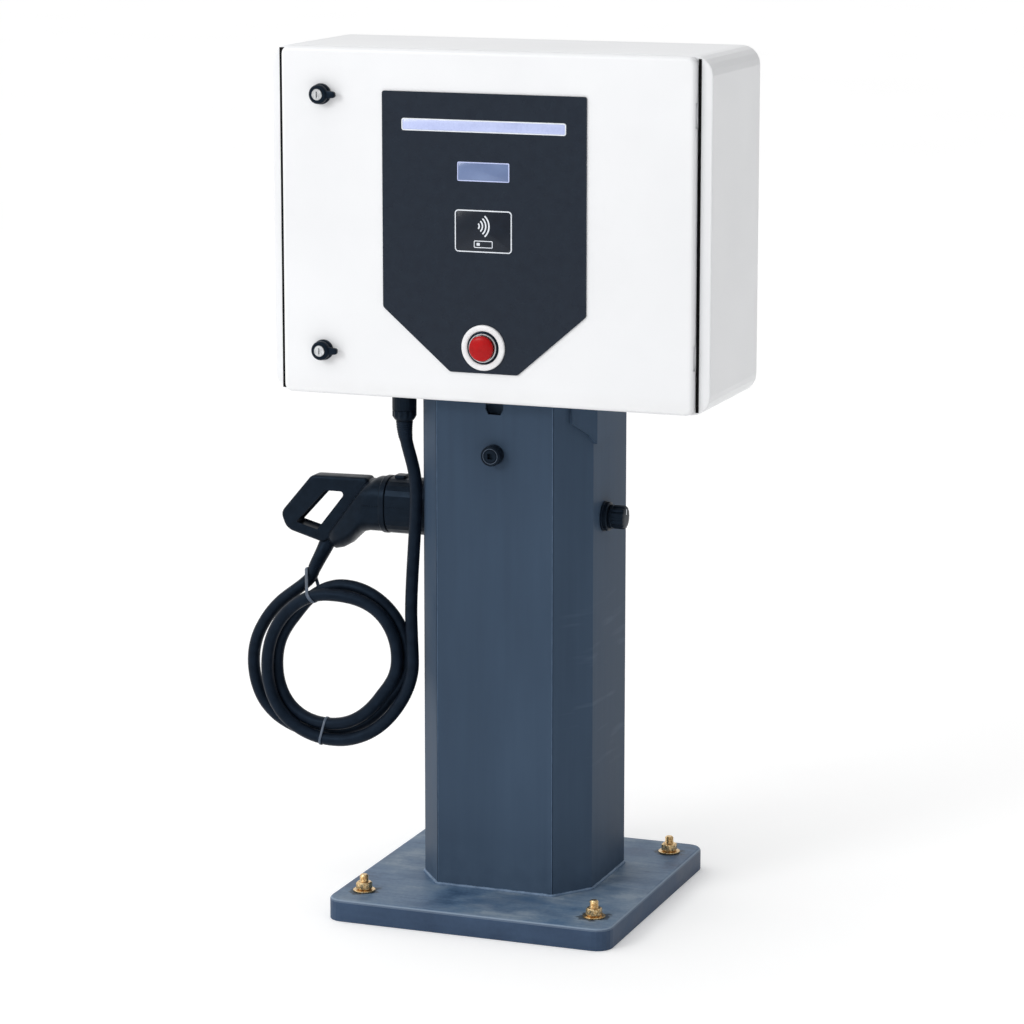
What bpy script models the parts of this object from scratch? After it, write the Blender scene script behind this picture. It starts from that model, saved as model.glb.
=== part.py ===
"""EV charging post: a steel cabinet with a hinged door on a folded column, bolted down by its base plate.

Metres, +Z up, front at -Y, +X to the right of someone facing the door.
The origin is the middle of the base plate's underside.
"""

import math

import bmesh
import bpy
from mathutils import Matrix, Vector

GAP = 0.0003

# Base plate and its four anchors
BASE_X, BASE_Y, BASE_Z = 0.400, 0.416, 0.030
BASE_CORNER, BASE_EDGE = 0.022, 0.004
ANCHOR_X, ANCHOR_Y = 0.164, 0.158
STUD_RADIUS, STUD_TOP = 0.006, 0.053
CABLE_ENTRY_RADIUS = 0.050

# Column: C-shaped shell and front panel
COLUMN_HALF, COLUMN_REAR = 0.121, 0.093
COLUMN_FRONT, CHAMFER_X, CHAMFER_Y = -0.095, 0.083, -0.045
SHEET = 0.003
COLUMN_LOW, COLUMN_HIGH = BASE_Z + GAP, 0.700 - GAP
PANEL_LOW, PANEL_HIGH, PANEL_SKIN = 0.033, 0.697, 0.0025
COLUMN_LOCK_Z = 0.627
CAP_FRONT, CAP_LOW = -0.074, 0.6917

# Cabinet
CABINET_HALF, CABINET_LOW, CABINET_HIGH = 0.304, 0.700, 1.160
CABINET_FRONT, CABINET_REAR = -0.118, 0.090
CABINET_CORNER, CABINET_WALL = 0.025, 0.0025
OPENING_HALF, OPENING_LOW, OPENING_HIGH = 0.264, 0.726, 1.134
CABINET_BOLTS = ((-0.080, -0.030), (0.080, -0.030), (-0.080, 0.060), (0.080, 0.060))
CABLE_PASS_RADIUS = 0.030

# Door
DOOR_HALF, DOOR_LOW, DOOR_HIGH = 0.285, 0.701, 1.159
DOOR_FRONT, DOOR_BACK, DOOR_SKIN = -0.132, -0.121, 0.0015
HINGE_X, HINGE_Y = 0.280, -0.126
HINGES = {"upper": 1.085, "lower": 0.775}
LOCK_X = -0.227
LOCKS = {"upper": 1.098, "lower": 0.760}
LOCK_CAMS = {"upper": (-0.045, 0.006), "lower": (-0.006, 0.045)}

# Control panel on the door
FASCIA_BACK, FASCIA_FRONT = DOOR_FRONT - GAP, -0.134
FASCIA_OUTLINE = ((-0.141, 1.105), (0.141, 1.105), (0.141, 0.822), (0.047, 0.741), (-0.047, 0.741),
                  (-0.141, 0.822))
LIGHT_BAR = (0.227, 0.016, 0.003, 1.0625)
DISPLAY = (0.072, 0.025, 0.002, 1.004)
READER = (0.079, 0.055, 0.005, 0.927)
ESTOP_Z = 0.775

# Cable, connector and holster
GLAND = (-0.144, -0.055)
CABLE_RADIUS = 0.0085
COIL_CENTRE, COIL_MIDDLE, COIL_WIDE, COIL_DEEP = (-0.250, 0.315), 0.1025, 0.0225, 0.017
COIL_Y = -0.045
HOLSTER_Z = 0.530
SEAM_X = -0.185

# Isolator switch on the column's right side
ISOLATOR_Y, ISOLATOR_Z = 0.0, 0.535

# Inside the cabinet
RAIL_Z, RAIL_FRONT = 1.010, 0.0677

PLANES = {"X": (1, 2, 0), "Y": (0, 2, 1), "Z": (0, 1, 2)}


def clear_scene():
    for obj in list(bpy.data.objects):
        bpy.data.objects.remove(obj, do_unlink=True)


def paint(name, colour, roughness, metallic=0.0, glow=0.0):
    material = bpy.data.materials.new(name)
    material.use_nodes = True
    shader = material.node_tree.nodes["Principled BSDF"]
    shader.inputs["Base Color"].default_value = (*colour, 1.0)
    shader.inputs["Roughness"].default_value = roughness
    shader.inputs["Metallic"].default_value = metallic
    if glow:
        shader.inputs["Emission Color"].default_value = (*colour, 1.0)
        shader.inputs["Emission Strength"].default_value = glow
    return material


def face_outwards(mesh):
    bmesh.ops.recalc_face_normals(mesh, faces=mesh.faces)
    if mesh.calc_volume(signed=True) < 0:
        bmesh.ops.reverse_faces(mesh, faces=mesh.faces)


def circle(radius, count=24, start=0.0):
    step = math.tau / count
    return [(radius * math.cos(start + k * step), radius * math.sin(start + k * step)) for k in range(count)]


def hexagon(across_flats, count=24):
    """A hexagon with its corners at 30, 90, ... degrees, sampled at the same angles as circle()."""
    points = []
    for k in range(count):
        angle = math.tau * k / count
        from_flat = (angle + math.pi / 6) % (math.pi / 3) - math.pi / 6
        radius = across_flats / 2 / math.cos(from_flat)
        points.append((radius * math.cos(angle), radius * math.sin(angle)))
    return points


def rounded(width, height, radius, steps=5):
    """A rectangle centred on zero with rounded corners, 4 * (steps + 1) points."""
    points = []
    for corner, (side, up) in enumerate(((1, 1), (-1, 1), (-1, -1), (1, -1))):
        for k in range(steps + 1):
            angle = math.radians(90 * (corner + k / steps))
            x = side * (width / 2 - radius) + radius * math.cos(angle)
            y = up * (height / 2 - radius) + radius * math.sin(angle)
            points.append((x, y))
    return points


def filleted(corners, radii, steps=4):
    """A polygon with each corner rounded by its own radius; zero leaves it sharp."""
    points = []
    count = len(corners)
    for k, radius in enumerate(radii):
        here = Vector(corners[k])
        back = (Vector(corners[k - 1]) - here).normalized()
        on = (Vector(corners[(k + 1) % count]) - here).normalized()
        if not radius:
            points.append(tuple(here))
            continue
        half = back.angle(on) / 2
        centre = here + (back + on).normalized() * radius / math.sin(half)
        reach = radius / math.tan(half)
        first = here + back * reach - centre
        last = here + on * reach - centre
        for j in range(steps + 1):
            spoke = first.normalized().slerp(last.normalized(), j / steps) * radius
            points.append(tuple(centre + spoke))
    return points


def shrunk(outline, inset):
    """A smooth closed outline, listed anticlockwise or clockwise, moved inwards by the inset."""
    count = len(outline)
    area = sum(outline[k - 1][0] * outline[k][1] - outline[k][0] * outline[k - 1][1] for k in range(count))
    side = 1.0 if area > 0 else -1.0
    points = []
    for k, (x, y) in enumerate(outline):
        along = (Vector(outline[(k + 1) % count]) - Vector(outline[k - 1])).normalized()
        points.append((x - side * inset * along.y, y + side * inset * along.x))
    return points


def softened(shape, low, high, low_round=0.0, high_round=0.0, steps=3):
    """Sections of shape(inset) from low to high, with a rounded edge at either end."""
    sections = []
    if low_round:
        for k in range(steps):
            turn = math.radians(90 * k / steps)
            sections.append((shape(low_round * (1 - math.sin(turn))),
                             low + low_round * (1 - math.cos(turn))))
    sections.append((shape(0.0), low + low_round))
    sections.append((shape(0.0), high - high_round))
    if high_round:
        for k in range(1, steps + 1):
            turn = math.radians(90 * k / steps)
            sections.append((shape(high_round * (1 - math.cos(turn))),
                             high - high_round * (1 - math.sin(turn))))
    return sections


def discs(profile, count=24):
    """Sections of a turned piece from (radius, distance along) pairs."""
    return [(circle(radius, count), along) for radius, along in profile]


def solid(sections, axis="Z", centre=(0.0, 0.0), closed=False):
    """A mesh through sections along an axis: capped at both ends, or closed round like a sleeve."""
    first, second, third = PLANES[axis]
    mesh = bmesh.new()
    rings = []
    for outline, along in sections:
        ring = []
        for a, b in outline:
            spot = [0.0, 0.0, 0.0]
            spot[first], spot[second], spot[third] = centre[0] + a, centre[1] + b, along
            ring.append(mesh.verts.new(spot))
        rings.append(ring)
    pairs = list(zip(rings, rings[1:]))
    if closed:
        pairs.append((rings[-1], rings[0]))
    else:
        mesh.faces.new(rings[0])
        mesh.faces.new(rings[-1])
    for one, other in pairs:
        for k in range(len(one)):
            j = (k + 1) % len(one)
            mesh.faces.new((one[k], one[j], other[j], other[k]))
    face_outwards(mesh)
    return mesh


def block(low, high):
    outline = [(low[0], low[1]), (high[0], low[1]), (high[0], high[1]), (low[0], high[1])]
    return solid([(outline, low[2]), (outline, high[2])])


def prism(outline, axis, low, high):
    return solid([(outline, low), (outline, high)], axis)


def place(name, mesh, material, origin=(0.0, 0.0, 0.0), smooth=True):
    """An object from a mesh in scene coordinates, with its origin put where asked."""
    bmesh.ops.translate(mesh, vec=-Vector(origin), verts=mesh.verts)
    data = bpy.data.meshes.new(name)
    mesh.to_mesh(data)
    mesh.free()
    if smooth:
        data.shade_smooth()
        data.set_sharp_from_angle(angle=math.radians(35))
    data.materials.append(material)
    obj = bpy.data.objects.new(name, data)
    obj.location = origin
    bpy.context.scene.collection.objects.link(obj)
    return obj


def helper(mesh, name="helper"):
    data = bpy.data.meshes.new(name)
    mesh.to_mesh(data)
    mesh.free()
    obj = bpy.data.objects.new(name, data)
    obj.hide_render = True
    obj.display_type = "WIRE"
    bpy.context.scene.collection.objects.link(obj)
    return obj


def combine(obj, mesh, operation):
    modifier = obj.modifiers.new(operation.lower(), "BOOLEAN")
    modifier.operation = operation
    modifier.solver = "EXACT"
    modifier.object = helper(mesh, obj.name + "_" + operation.lower())


def cut(obj, mesh):
    combine(obj, mesh, "DIFFERENCE")


def weld(obj, mesh):
    combine(obj, mesh, "UNION")


def soften_edges(obj, width, segments=2, angle=40):
    modifier = obj.modifiers.new("edges", "BEVEL")
    modifier.width = width
    modifier.segments = segments
    modifier.limit_method = "ANGLE"
    modifier.angle_limit = math.radians(angle)


def hole(radius, axis, centre, low, high, count=24):
    return solid(discs(((radius, low), (radius, high)), count), axis, centre)


def tube(name, points, material):
    curve = bpy.data.curves.new(name, "CURVE")
    curve.dimensions = "3D"
    curve.bevel_depth = CABLE_RADIUS
    curve.bevel_resolution = 3
    curve.use_fill_caps = True
    line = curve.splines.new("POLY")
    line.points.add(len(points) - 1)
    for point, spot in zip(line.points, points):
        point.co = (*spot, 1.0)
    curve.materials.append(material)
    obj = bpy.data.objects.new(name, curve)
    bpy.context.scene.collection.objects.link(obj)


# ---------------------------------------------------------------- base and column

def base_plate(steel):
    def outline(inset):
        return rounded(BASE_X - 2 * inset, BASE_Y - 2 * inset, BASE_CORNER - inset)

    plate = place("base_plate", solid(softened(outline, 0.0, BASE_Z, 0.0, BASE_EDGE)), steel)
    cut(plate, hole(CABLE_ENTRY_RADIUS, "Z", (0.0, 0.0), -0.01, 0.05, 32))
    for x, y in anchor_spots():
        cut(plate, hole(STUD_RADIUS + 0.001, "Z", (x, y), -0.01, 0.05))


def anchor_spots():
    return [(x, y) for y in (-ANCHOR_Y, ANCHOR_Y) for x in (-ANCHOR_X, ANCHOR_X)]


def anchors(zinc):
    for number, (x, y) in enumerate(anchor_spots(), 1):
        stud = discs(((STUD_RADIUS, 0.0005), (STUD_RADIUS, STUD_TOP - 0.0015), (0.0045, STUD_TOP)), 16)
        place(f"anchor_stud_{number}", solid(stud, "Z", (x, y)), zinc, (x, y, BASE_Z))
        low, seat, top = BASE_Z + GAP, BASE_Z + 0.0028, BASE_Z + 0.013
        bore = circle(STUD_RADIUS + GAP)
        nut = [
            (circle(0.014), low),
            (circle(0.014), seat),
            (hexagon(0.019), seat),
            (hexagon(0.019), top - 0.001),
            (circle(0.0095), top),
            (bore, top),
            (bore, low),
        ]
        place(f"anchor_nut_{number}", solid(nut, "Z", (x, y), closed=True), zinc, (x, y, BASE_Z))


def column_shell(steel):
    seam_x, seam_y = CHAMFER_X - GAP, COLUMN_FRONT + PANEL_SKIN + GAP
    lip_x, lip_y = 0.065, seam_y + SHEET
    right = [
        (lip_x, seam_y, 0.0),
        (seam_x, seam_y, 0.0),
        (CHAMFER_X, COLUMN_FRONT, 0.0),
        (COLUMN_HALF, CHAMFER_Y, 0.004),
        (COLUMN_HALF, COLUMN_REAR, 0.005),
    ]
    inner = [
        (COLUMN_HALF - SHEET, COLUMN_REAR - SHEET, 0.002),
        (COLUMN_HALF - SHEET, CHAMFER_Y + 0.001, 0.0),
        (CHAMFER_X + 0.0006, lip_y, 0.0),
        (lip_x, lip_y, 0.0),
    ]
    corners = right + [(-x, y, r) for x, y, r in reversed(right)]
    corners += [(-x, y, r) for x, y, r in reversed(inner)] + inner
    outline = filleted([(x, y) for x, y, _ in corners], [r for _, _, r in corners])
    shell = place("column_shell", prism(outline, "Z", COLUMN_LOW, COLUMN_HIGH), steel)
    cut(shell, hole(0.0113, "X", (ISOLATOR_Y, ISOLATOR_Z), 0.11, 0.13))


def column_front_panel(steel):
    half, stiff, depth = CHAMFER_X - 2 * GAP, 0.0645, 0.018
    back = COLUMN_FRONT + PANEL_SKIN
    right = [
        (half, COLUMN_FRONT),
        (half, back),
        (stiff, back),
        (stiff, COLUMN_FRONT + depth),
        (stiff - PANEL_SKIN, COLUMN_FRONT + depth),
        (stiff - PANEL_SKIN, back),
    ]
    outline = right + [(-x, y) for x, y in reversed(right)]
    axis = (0.0, COLUMN_FRONT, PANEL_LOW)
    panel = place("column_front_panel", prism(outline, "Z", PANEL_LOW, PANEL_HIGH), steel, axis,
                  smooth=False)
    notch = [(-0.0125, 0.710), (0.0125, 0.710), (0.0125, 0.687), (0.0085, 0.680), (-0.0085, 0.680),
             (-0.0125, 0.687)]
    cut(panel, prism(notch, "Y", -0.11, -0.08))
    cut(panel, hole(0.011, "Y", (0.0, COLUMN_LOCK_Z), -0.11, -0.08))


def column_cap_plate(steel):
    side = COLUMN_HALF - SHEET - GAP
    right = [(0.0948, CAP_FRONT), (side, CHAMFER_Y + 0.0015), (side, COLUMN_REAR - SHEET - GAP)]
    corners = right + [(-x, y) for x, y in reversed(right)]
    outline = filleted(corners, (0, 0, 0.0025, 0.0025, 0, 0), 2)
    cap = place("column_cap_plate", prism(outline, "Z", CAP_LOW, COLUMN_HIGH), steel, smooth=False)
    weld(cap, block((-0.060, CAP_FRONT, 0.678), (0.060, CAP_FRONT + SHEET, 0.695)))
    cut(cap, hole(CABLE_PASS_RADIUS, "Z", (0.0, 0.0), 0.68, 0.71))
    for spot in CABINET_BOLTS:
        cut(cap, hole(0.0043, "Z", spot, 0.68, 0.71, 12))


def support_bracket(steel):
    """A folded plate round the column's right front corner; each station is (x, y, out x, out y, foot)."""
    off, thick = GAP, 0.006
    stations = (
        (0.0982, -0.0750, 0.796, -0.605, 0.671),
        (0.1140, -0.0542, 0.796, -0.605, 0.655),
        (COLUMN_HALF, CHAMFER_Y, 1.0, -0.332, 0.641),
        (COLUMN_HALF, -0.0300, 1.0, 0.0, 0.642),
        (COLUMN_HALF, 0.0600, 1.0, 0.0, 0.647),
    )
    mesh = bmesh.new()
    rings = []
    for x, y, out_x, out_y, foot in stations:
        ring = []
        for reach, z in ((off, foot), (thick, foot), (thick, COLUMN_HIGH), (off, COLUMN_HIGH)):
            ring.append(mesh.verts.new((x + out_x * reach, y + out_y * reach, z)))
        rings.append(ring)
    mesh.faces.new(rings[0])
    mesh.faces.new(rings[-1])
    for one, other in zip(rings, rings[1:]):
        for k in range(4):
            j = (k + 1) % 4
            mesh.faces.new((one[k], one[j], other[j], other[k]))
    face_outwards(mesh)
    place("support_bracket", mesh, steel, smooth=False)


def column_lock(plastic, metal):
    front, seat, rear = -0.111, COLUMN_FRONT - GAP, -0.080
    body = [
        (0.0093, front + 0.001),
        (0.0100, front),
        (0.0122, front),
        (0.0135, front + 0.0015),
        (0.0135, seat),
        (0.0107, seat),
        (0.0107, rear),
        (0.0093, rear),
    ]
    centre = (0.0, COLUMN_LOCK_Z)
    origin = (0.0, COLUMN_FRONT, COLUMN_LOCK_Z)
    place("column_lock_body", solid(discs(body), "Y", centre, closed=True), plastic, origin)
    core = [
        (0.0048, front + 0.0035),
        (0.0048, front - 0.0004),
        (0.0084, front - 0.0004),
        (0.0089, front + 0.0002),
        (0.0089, -0.0785),
        (0.0050, -0.0785),
        (0.0050, -0.0665),
    ]
    barrel = place("column_lock_core", solid(discs(core), "Y", centre), metal, origin)
    weld(barrel, block((-0.007, -0.0707, COLUMN_LOCK_Z - 0.008), (0.062, -0.0677, COLUMN_LOCK_Z + 0.008)))


# ---------------------------------------------------------------- cabinet

def cabinet_outline(inset):
    width = 2 * (CABINET_HALF - inset)
    height = CABINET_HIGH - CABINET_LOW - 2 * inset
    return rounded(width, height, CABINET_CORNER - inset)


def opening_outline(grow):
    return rounded(2 * (OPENING_HALF + grow), OPENING_HIGH - OPENING_LOW + 2 * grow, 0.008 + grow)


def cabinet_body(steel):
    """Outer skin, flange round the opening with a rain lip standing forward, and the inside skin."""
    lip = 0.002
    sections = [
        (cabinet_outline(0.004), CABINET_REAR),
        (cabinet_outline(0.0012), CABINET_REAR - 0.0012),
        (cabinet_outline(0.0), CABINET_REAR - 0.004),
        (cabinet_outline(0.0), CABINET_FRONT + 0.002),
        (cabinet_outline(0.0006), CABINET_FRONT + 0.0006),
        (cabinet_outline(0.002), CABINET_FRONT),
        (opening_outline(0.0), CABINET_FRONT),
        (opening_outline(0.0), -0.124),
        (opening_outline(-lip), -0.124),
        (opening_outline(-lip), CABINET_FRONT + CABINET_WALL),
        (cabinet_outline(CABINET_WALL), CABINET_FRONT + CABINET_WALL),
        (cabinet_outline(CABINET_WALL), CABINET_REAR - CABINET_WALL),
    ]
    middle = (0.0, (CABINET_LOW + CABINET_HIGH) / 2)
    body = place("cabinet_body", solid(sections, "Y", middle), steel)
    cut(body, hole(CABLE_PASS_RADIUS, "Z", (0.0, 0.0), 0.69, 0.71))
    cut(body, hole(0.0103, "Z", GLAND, 0.69, 0.71))
    for spot in CABINET_BOLTS:
        cut(body, hole(0.0043, "Z", spot, 0.69, 0.71, 12))


def cabinet_bolts(zinc):
    seat = CABINET_LOW + CABINET_WALL + GAP
    for number, (x, y) in enumerate(CABINET_BOLTS, 1):
        bolt = [
            (circle(0.004, 12), 0.684),
            (circle(0.004, 12), seat),
            (circle(0.0085, 12), seat),
            (circle(0.0085, 12), seat + 0.0016),
            (hexagon(0.013, 12), seat + 0.0016),
            (hexagon(0.013, 12), seat + 0.0069),
        ]
        place(f"cabinet_bolt_{number}", solid(bolt, "Z", (x, y)), zinc, (x, y, seat))


def mounting_plate(zinc):
    def outline(inset):
        return rounded(0.540 - 2 * inset, 0.400 - 2 * inset, 0.008 - inset)

    front, fold, wall_side = 0.0755, 0.002, CABINET_REAR - CABINET_WALL - GAP
    sections = [
        (outline(0.0), front),
        (outline(0.0), wall_side),
        (outline(fold), wall_side),
        (outline(fold), front + fold),
    ]
    place("mounting_plate", solid(sections, "Y", (0.0, 0.930)), zinc)


def din_rail(zinc):
    back, front, skin = 0.0752, RAIL_FRONT, 0.001
    upper = [
        (back, 0.0125),
        (front + skin, 0.0125),
        (front + skin, 0.0175),
        (front, 0.0175),
        (front, 0.0115),
        (back - skin, 0.0115),
    ]
    profile = upper + [(y, -z) for y, z in reversed(upper)]
    outline = [(y, RAIL_Z + z) for y, z in profile]
    place("din_rail", prism(outline, "X", -0.160, 0.160), zinc, smooth=False)


def rail_device(name, left, right, half_height, depth, nose_half, nose_depth, plastic):
    """A device clipped on the rail, with a stepped front."""
    back = RAIL_FRONT - GAP
    upper = [
        (back, half_height),
        (back - depth, half_height),
        (back - depth, nose_half),
        (back - nose_depth, nose_half),
    ]
    profile = upper + [(y, -z) for y, z in reversed(upper)]
    outline = [(y, RAIL_Z + z) for y, z in profile]
    device = place(name, prism(outline, "X", left, right), plastic, smooth=False)
    soften_edges(device, 0.0012, 1)
    return device


def power_devices(grey, dark, black):
    breaker = rail_device("circuit_breaker", -0.140, -0.068, 0.0425, 0.044, 0.0225, 0.060, grey)
    cut(breaker, block((-0.133, 0.004, RAIL_Z - 0.010), (-0.075, 0.0240, RAIL_Z + 0.010)))
    rail_device("contactor", -0.050, 0.004, 0.0405, 0.062, 0.026, 0.086, dark)
    rail_device("charge_controller", 0.020, 0.130, 0.045, 0.038, 0.034, 0.055, grey)
    pivot = (-0.104, 0.0152, RAIL_Z)
    lever = filleted(
        [(0.0202, 0.0060), (0.0152, 0.0075), (0.0080, 0.0060), (-0.006, 0.0075), (-0.006, 0.0015),
         (0.0080, -0.0060),
         (0.0152, -0.0075), (0.0202, -0.0060)],
        (0.001,) * 8, 1,
    )
    outline = [(y, RAIL_Z + z) for y, z in lever]
    place("breaker_toggle", prism(outline, "X", -0.1325, -0.0755), black, pivot)


# ---------------------------------------------------------------- door

def door_outline(inset):
    return rounded(2 * (DOOR_HALF - inset), DOOR_HIGH - DOOR_LOW - 2 * inset, 0.010 - inset)


def door_panel(steel):
    """A pan open at the back, its front edges rounded, notched at the hinges."""
    edge = 0.005
    sections = [
        (door_outline(0.0022), DOOR_FRONT + DOOR_SKIN),
        (door_outline(DOOR_SKIN), DOOR_FRONT + 0.003),
        (door_outline(DOOR_SKIN), DOOR_BACK),
        (door_outline(0.0), DOOR_BACK),
    ]
    for k in range(5):
        turn = math.radians(90 * k / 4)
        sections.append((door_outline(edge * (1 - math.cos(turn))),
                         DOOR_FRONT + edge * (1 - math.sin(turn))))
    middle = (0.0, (DOOR_LOW + DOOR_HIGH) / 2)
    door = place("door_panel", solid(sections, "Y", middle), steel, (HINGE_X, HINGE_Y, 0.930))
    for z in HINGES.values():
        cut(door, block((0.2825, -0.1285, z - 0.027), (0.290, -0.115, z + 0.027)))
    for z in LOCKS.values():
        cut(door, hole(0.0113, "Y", (LOCK_X, z), -0.14, -0.12))
    cut(door, hole(0.0113, "Y", (0.0, ESTOP_Z), -0.14, -0.12))


def door_gasket(foam):
    middle = (0.0, (OPENING_LOW + OPENING_HIGH) / 2)
    back, front = -0.1243, DOOR_FRONT + DOOR_SKIN + GAP
    sections = [
        (opening_outline(0.003), front),
        (opening_outline(0.003), back - 0.001),
        (opening_outline(0.002), back),
        (opening_outline(-0.004), back),
        (opening_outline(-0.005), back - 0.001),
        (opening_outline(-0.005), front),
    ]
    place("door_gasket", solid(sections, "Y", middle, closed=True), foam)


def hinges(zinc, steel):
    for label, z in HINGES.items():
        axis = (HINGE_X, HINGE_Y, z)
        pin = discs(((0.0012, z - 0.026), (0.0017, z - 0.0255), (0.0017, z + 0.0255), (0.0012, z + 0.026)),
                    16)
        place(f"hinge_pin_{label}", solid(pin, "Z", axis[:2]), steel, axis)
        arm = place(f"hinge_arm_{label}", block((0.268, -0.1208, z - 0.014), (0.2815, -0.1183, z + 0.014)),
                    zinc, axis)
        weld(arm, block((0.2785, HINGE_Y, z - 0.009), (0.2815, -0.1190, z + 0.009)))
        weld(arm, hole(0.0032, "Z", axis[:2], z - 0.009, z + 0.009))
        cut(arm, hole(0.0020, "Z", axis[:2], z - 0.02, z + 0.02, 16))
        carrier = place(f"hinge_block_{label}", block((0.270, -0.1302, z - 0.024),
                                                      (0.2826, -0.1228, z + 0.024)), zinc, axis)
        cut(carrier, block((0.2743, -0.132, z - 0.0093), (0.286, -0.120, z + 0.0093)))
        cut(carrier, hole(0.0020, "Z", axis[:2], z - 0.03, z + 0.03, 16))


def door_locks(plastic, chrome):
    for label, z in LOCKS.items():
        centre, origin = (LOCK_X, z), (LOCK_X, DOOR_FRONT, z)
        seat = DOOR_FRONT - GAP
        housing = [
            (0.0063, -0.1380),
            (0.0125, -0.1380),
            (0.0135, -0.1370),
            (0.0135, seat),
            (0.0110, seat),
            (0.0110, -0.1190),
            (0.0063, -0.1190),
        ]
        place(f"lock_housing_{label}", solid(discs(housing), "Y", centre, closed=True), plastic, origin)
        knob = [(0.0078, -0.1470), (0.0110, -0.1470), (0.0125, -0.1455), (0.0125, -0.1383),
                (0.0078, -0.1383)]
        wing = place(f"lock_wing_{label}", solid(discs(knob), "Y", centre, closed=True), plastic, origin)
        tab = filleted([(0.010, 0.0045), (0.023, 0.0038), (0.023, -0.0038), (0.010, -0.0045)],
                       (0, 0.003, 0.003, 0), 3)
        weld(wing, prism([(LOCK_X + x, z + rise) for x, rise in tab], "Y", -0.1450, -0.1395))
        core = [(0.0060, -0.1486), (0.0074, -0.1476), (0.0074, -0.1383), (0.0060, -0.1383),
                (0.0060, -0.1110)]
        barrel = place(f"lock_core_{label}", solid(discs(core), "Y", centre), chrome, origin)
        low, high = LOCK_CAMS[label]
        weld(barrel, block((LOCK_X - 0.006, -0.1142, z + low), (LOCK_X + 0.006, -0.1112, z + high)))


# ---------------------------------------------------------------- control panel

def plate_on_door(name, size, back, front, material):
    width, height, radius, z = size
    return place(name, prism([(x, z + up) for x, up in rounded(width, height, radius, 3)], "Y", front,
                             back), material)


def control_panel(dark, lamp, glass, print_white):
    fascia = place("fascia_panel", prism(filleted(FASCIA_OUTLINE,
                                                  (0.003, 0.003, 0.006, 0.006, 0.006, 0.006)),
                                         "Y", FASCIA_FRONT, FASCIA_BACK), dark)
    for width, height, radius, z in (LIGHT_BAR, DISPLAY, READER):
        outline = rounded(width + 2 * GAP, height + 2 * GAP, radius + GAP, 3)
        cut(fascia, prism([(x, z + up) for x, up in outline], "Y", -0.14, -0.13))
    cut(fascia, hole(0.0113, "Y", (0.0, ESTOP_Z), -0.14, -0.13))
    plate_on_door("light_bar", LIGHT_BAR, FASCIA_BACK, FASCIA_FRONT - 0.0006, lamp)
    plate_on_door("display_window", DISPLAY, FASCIA_BACK, FASCIA_FRONT - 0.0003, glass)
    plate_on_door("card_reader", READER, FASCIA_BACK, FASCIA_FRONT - 0.0006, print_white)


def emergency_stop(white, metal, red, black):
    centre, seat = (0.0, ESTOP_Z), FASCIA_FRONT - GAP
    origin = (0.0, FASCIA_FRONT, ESTOP_Z)
    ring = [(0.0300, seat), (0.0300, -0.1362), (0.0285, -0.1376), (0.0255, -0.1376), (0.0243, -0.1366),
            (0.0243, seat)]
    place("estop_ring", solid(discs(ring, 32), "Y", centre, closed=True), white, origin)
    collar = [
        (0.0238, seat),
        (0.0238, -0.1392),
        (0.0228, -0.1402),
        (0.0206, -0.1402),
        (0.0202, -0.1396),
        (0.0202, -0.1370),
        (0.0063, -0.1370),
        (0.0063, -0.1100),
        (0.0110, -0.1100),
        (0.0110, seat),
    ]
    place("estop_collar", solid(discs(collar), "Y", centre, closed=True), metal, origin)
    head = [
        (0.0080, -0.1500),
        (0.0145, -0.1490),
        (0.0180, -0.1470),
        (0.0192, -0.1440),
        (0.0192, -0.1412),
        (0.0060, -0.1412),
        (0.0060, -0.1130),
    ]
    place("estop_head", solid(discs(head), "Y", centre), red, origin)
    sections = [
        (rounded(0.040, 0.040, 0.003), -0.0760),
        (rounded(0.040, 0.040, 0.003), -0.1097),
        (circle(0.0066, 24, math.radians(7.5)), -0.1097),
        (circle(0.0066, 24, math.radians(7.5)), -0.1000),
    ]
    place("estop_contact_block", solid(sections, "Y", centre), black, origin)


# ---------------------------------------------------------------- cable, connector, holster, isolator

def gland(plastic):
    body = discs(((0.0100, 0.7120), (0.0100, 0.6997), (0.0165, 0.6997), (0.0165, 0.6723)))
    place("gland_body", solid(body, "Z", GLAND), plastic, (*GLAND, CABINET_LOW))
    nut = discs(((0.0158, 0.6720), (0.0158, 0.6655), (0.0146, 0.6610), (0.0118, 0.6580), (0.0095, 0.6570)))
    place("gland_nut", solid(nut, "Z", GLAND), plastic, (*GLAND, 0.6720))


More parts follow.
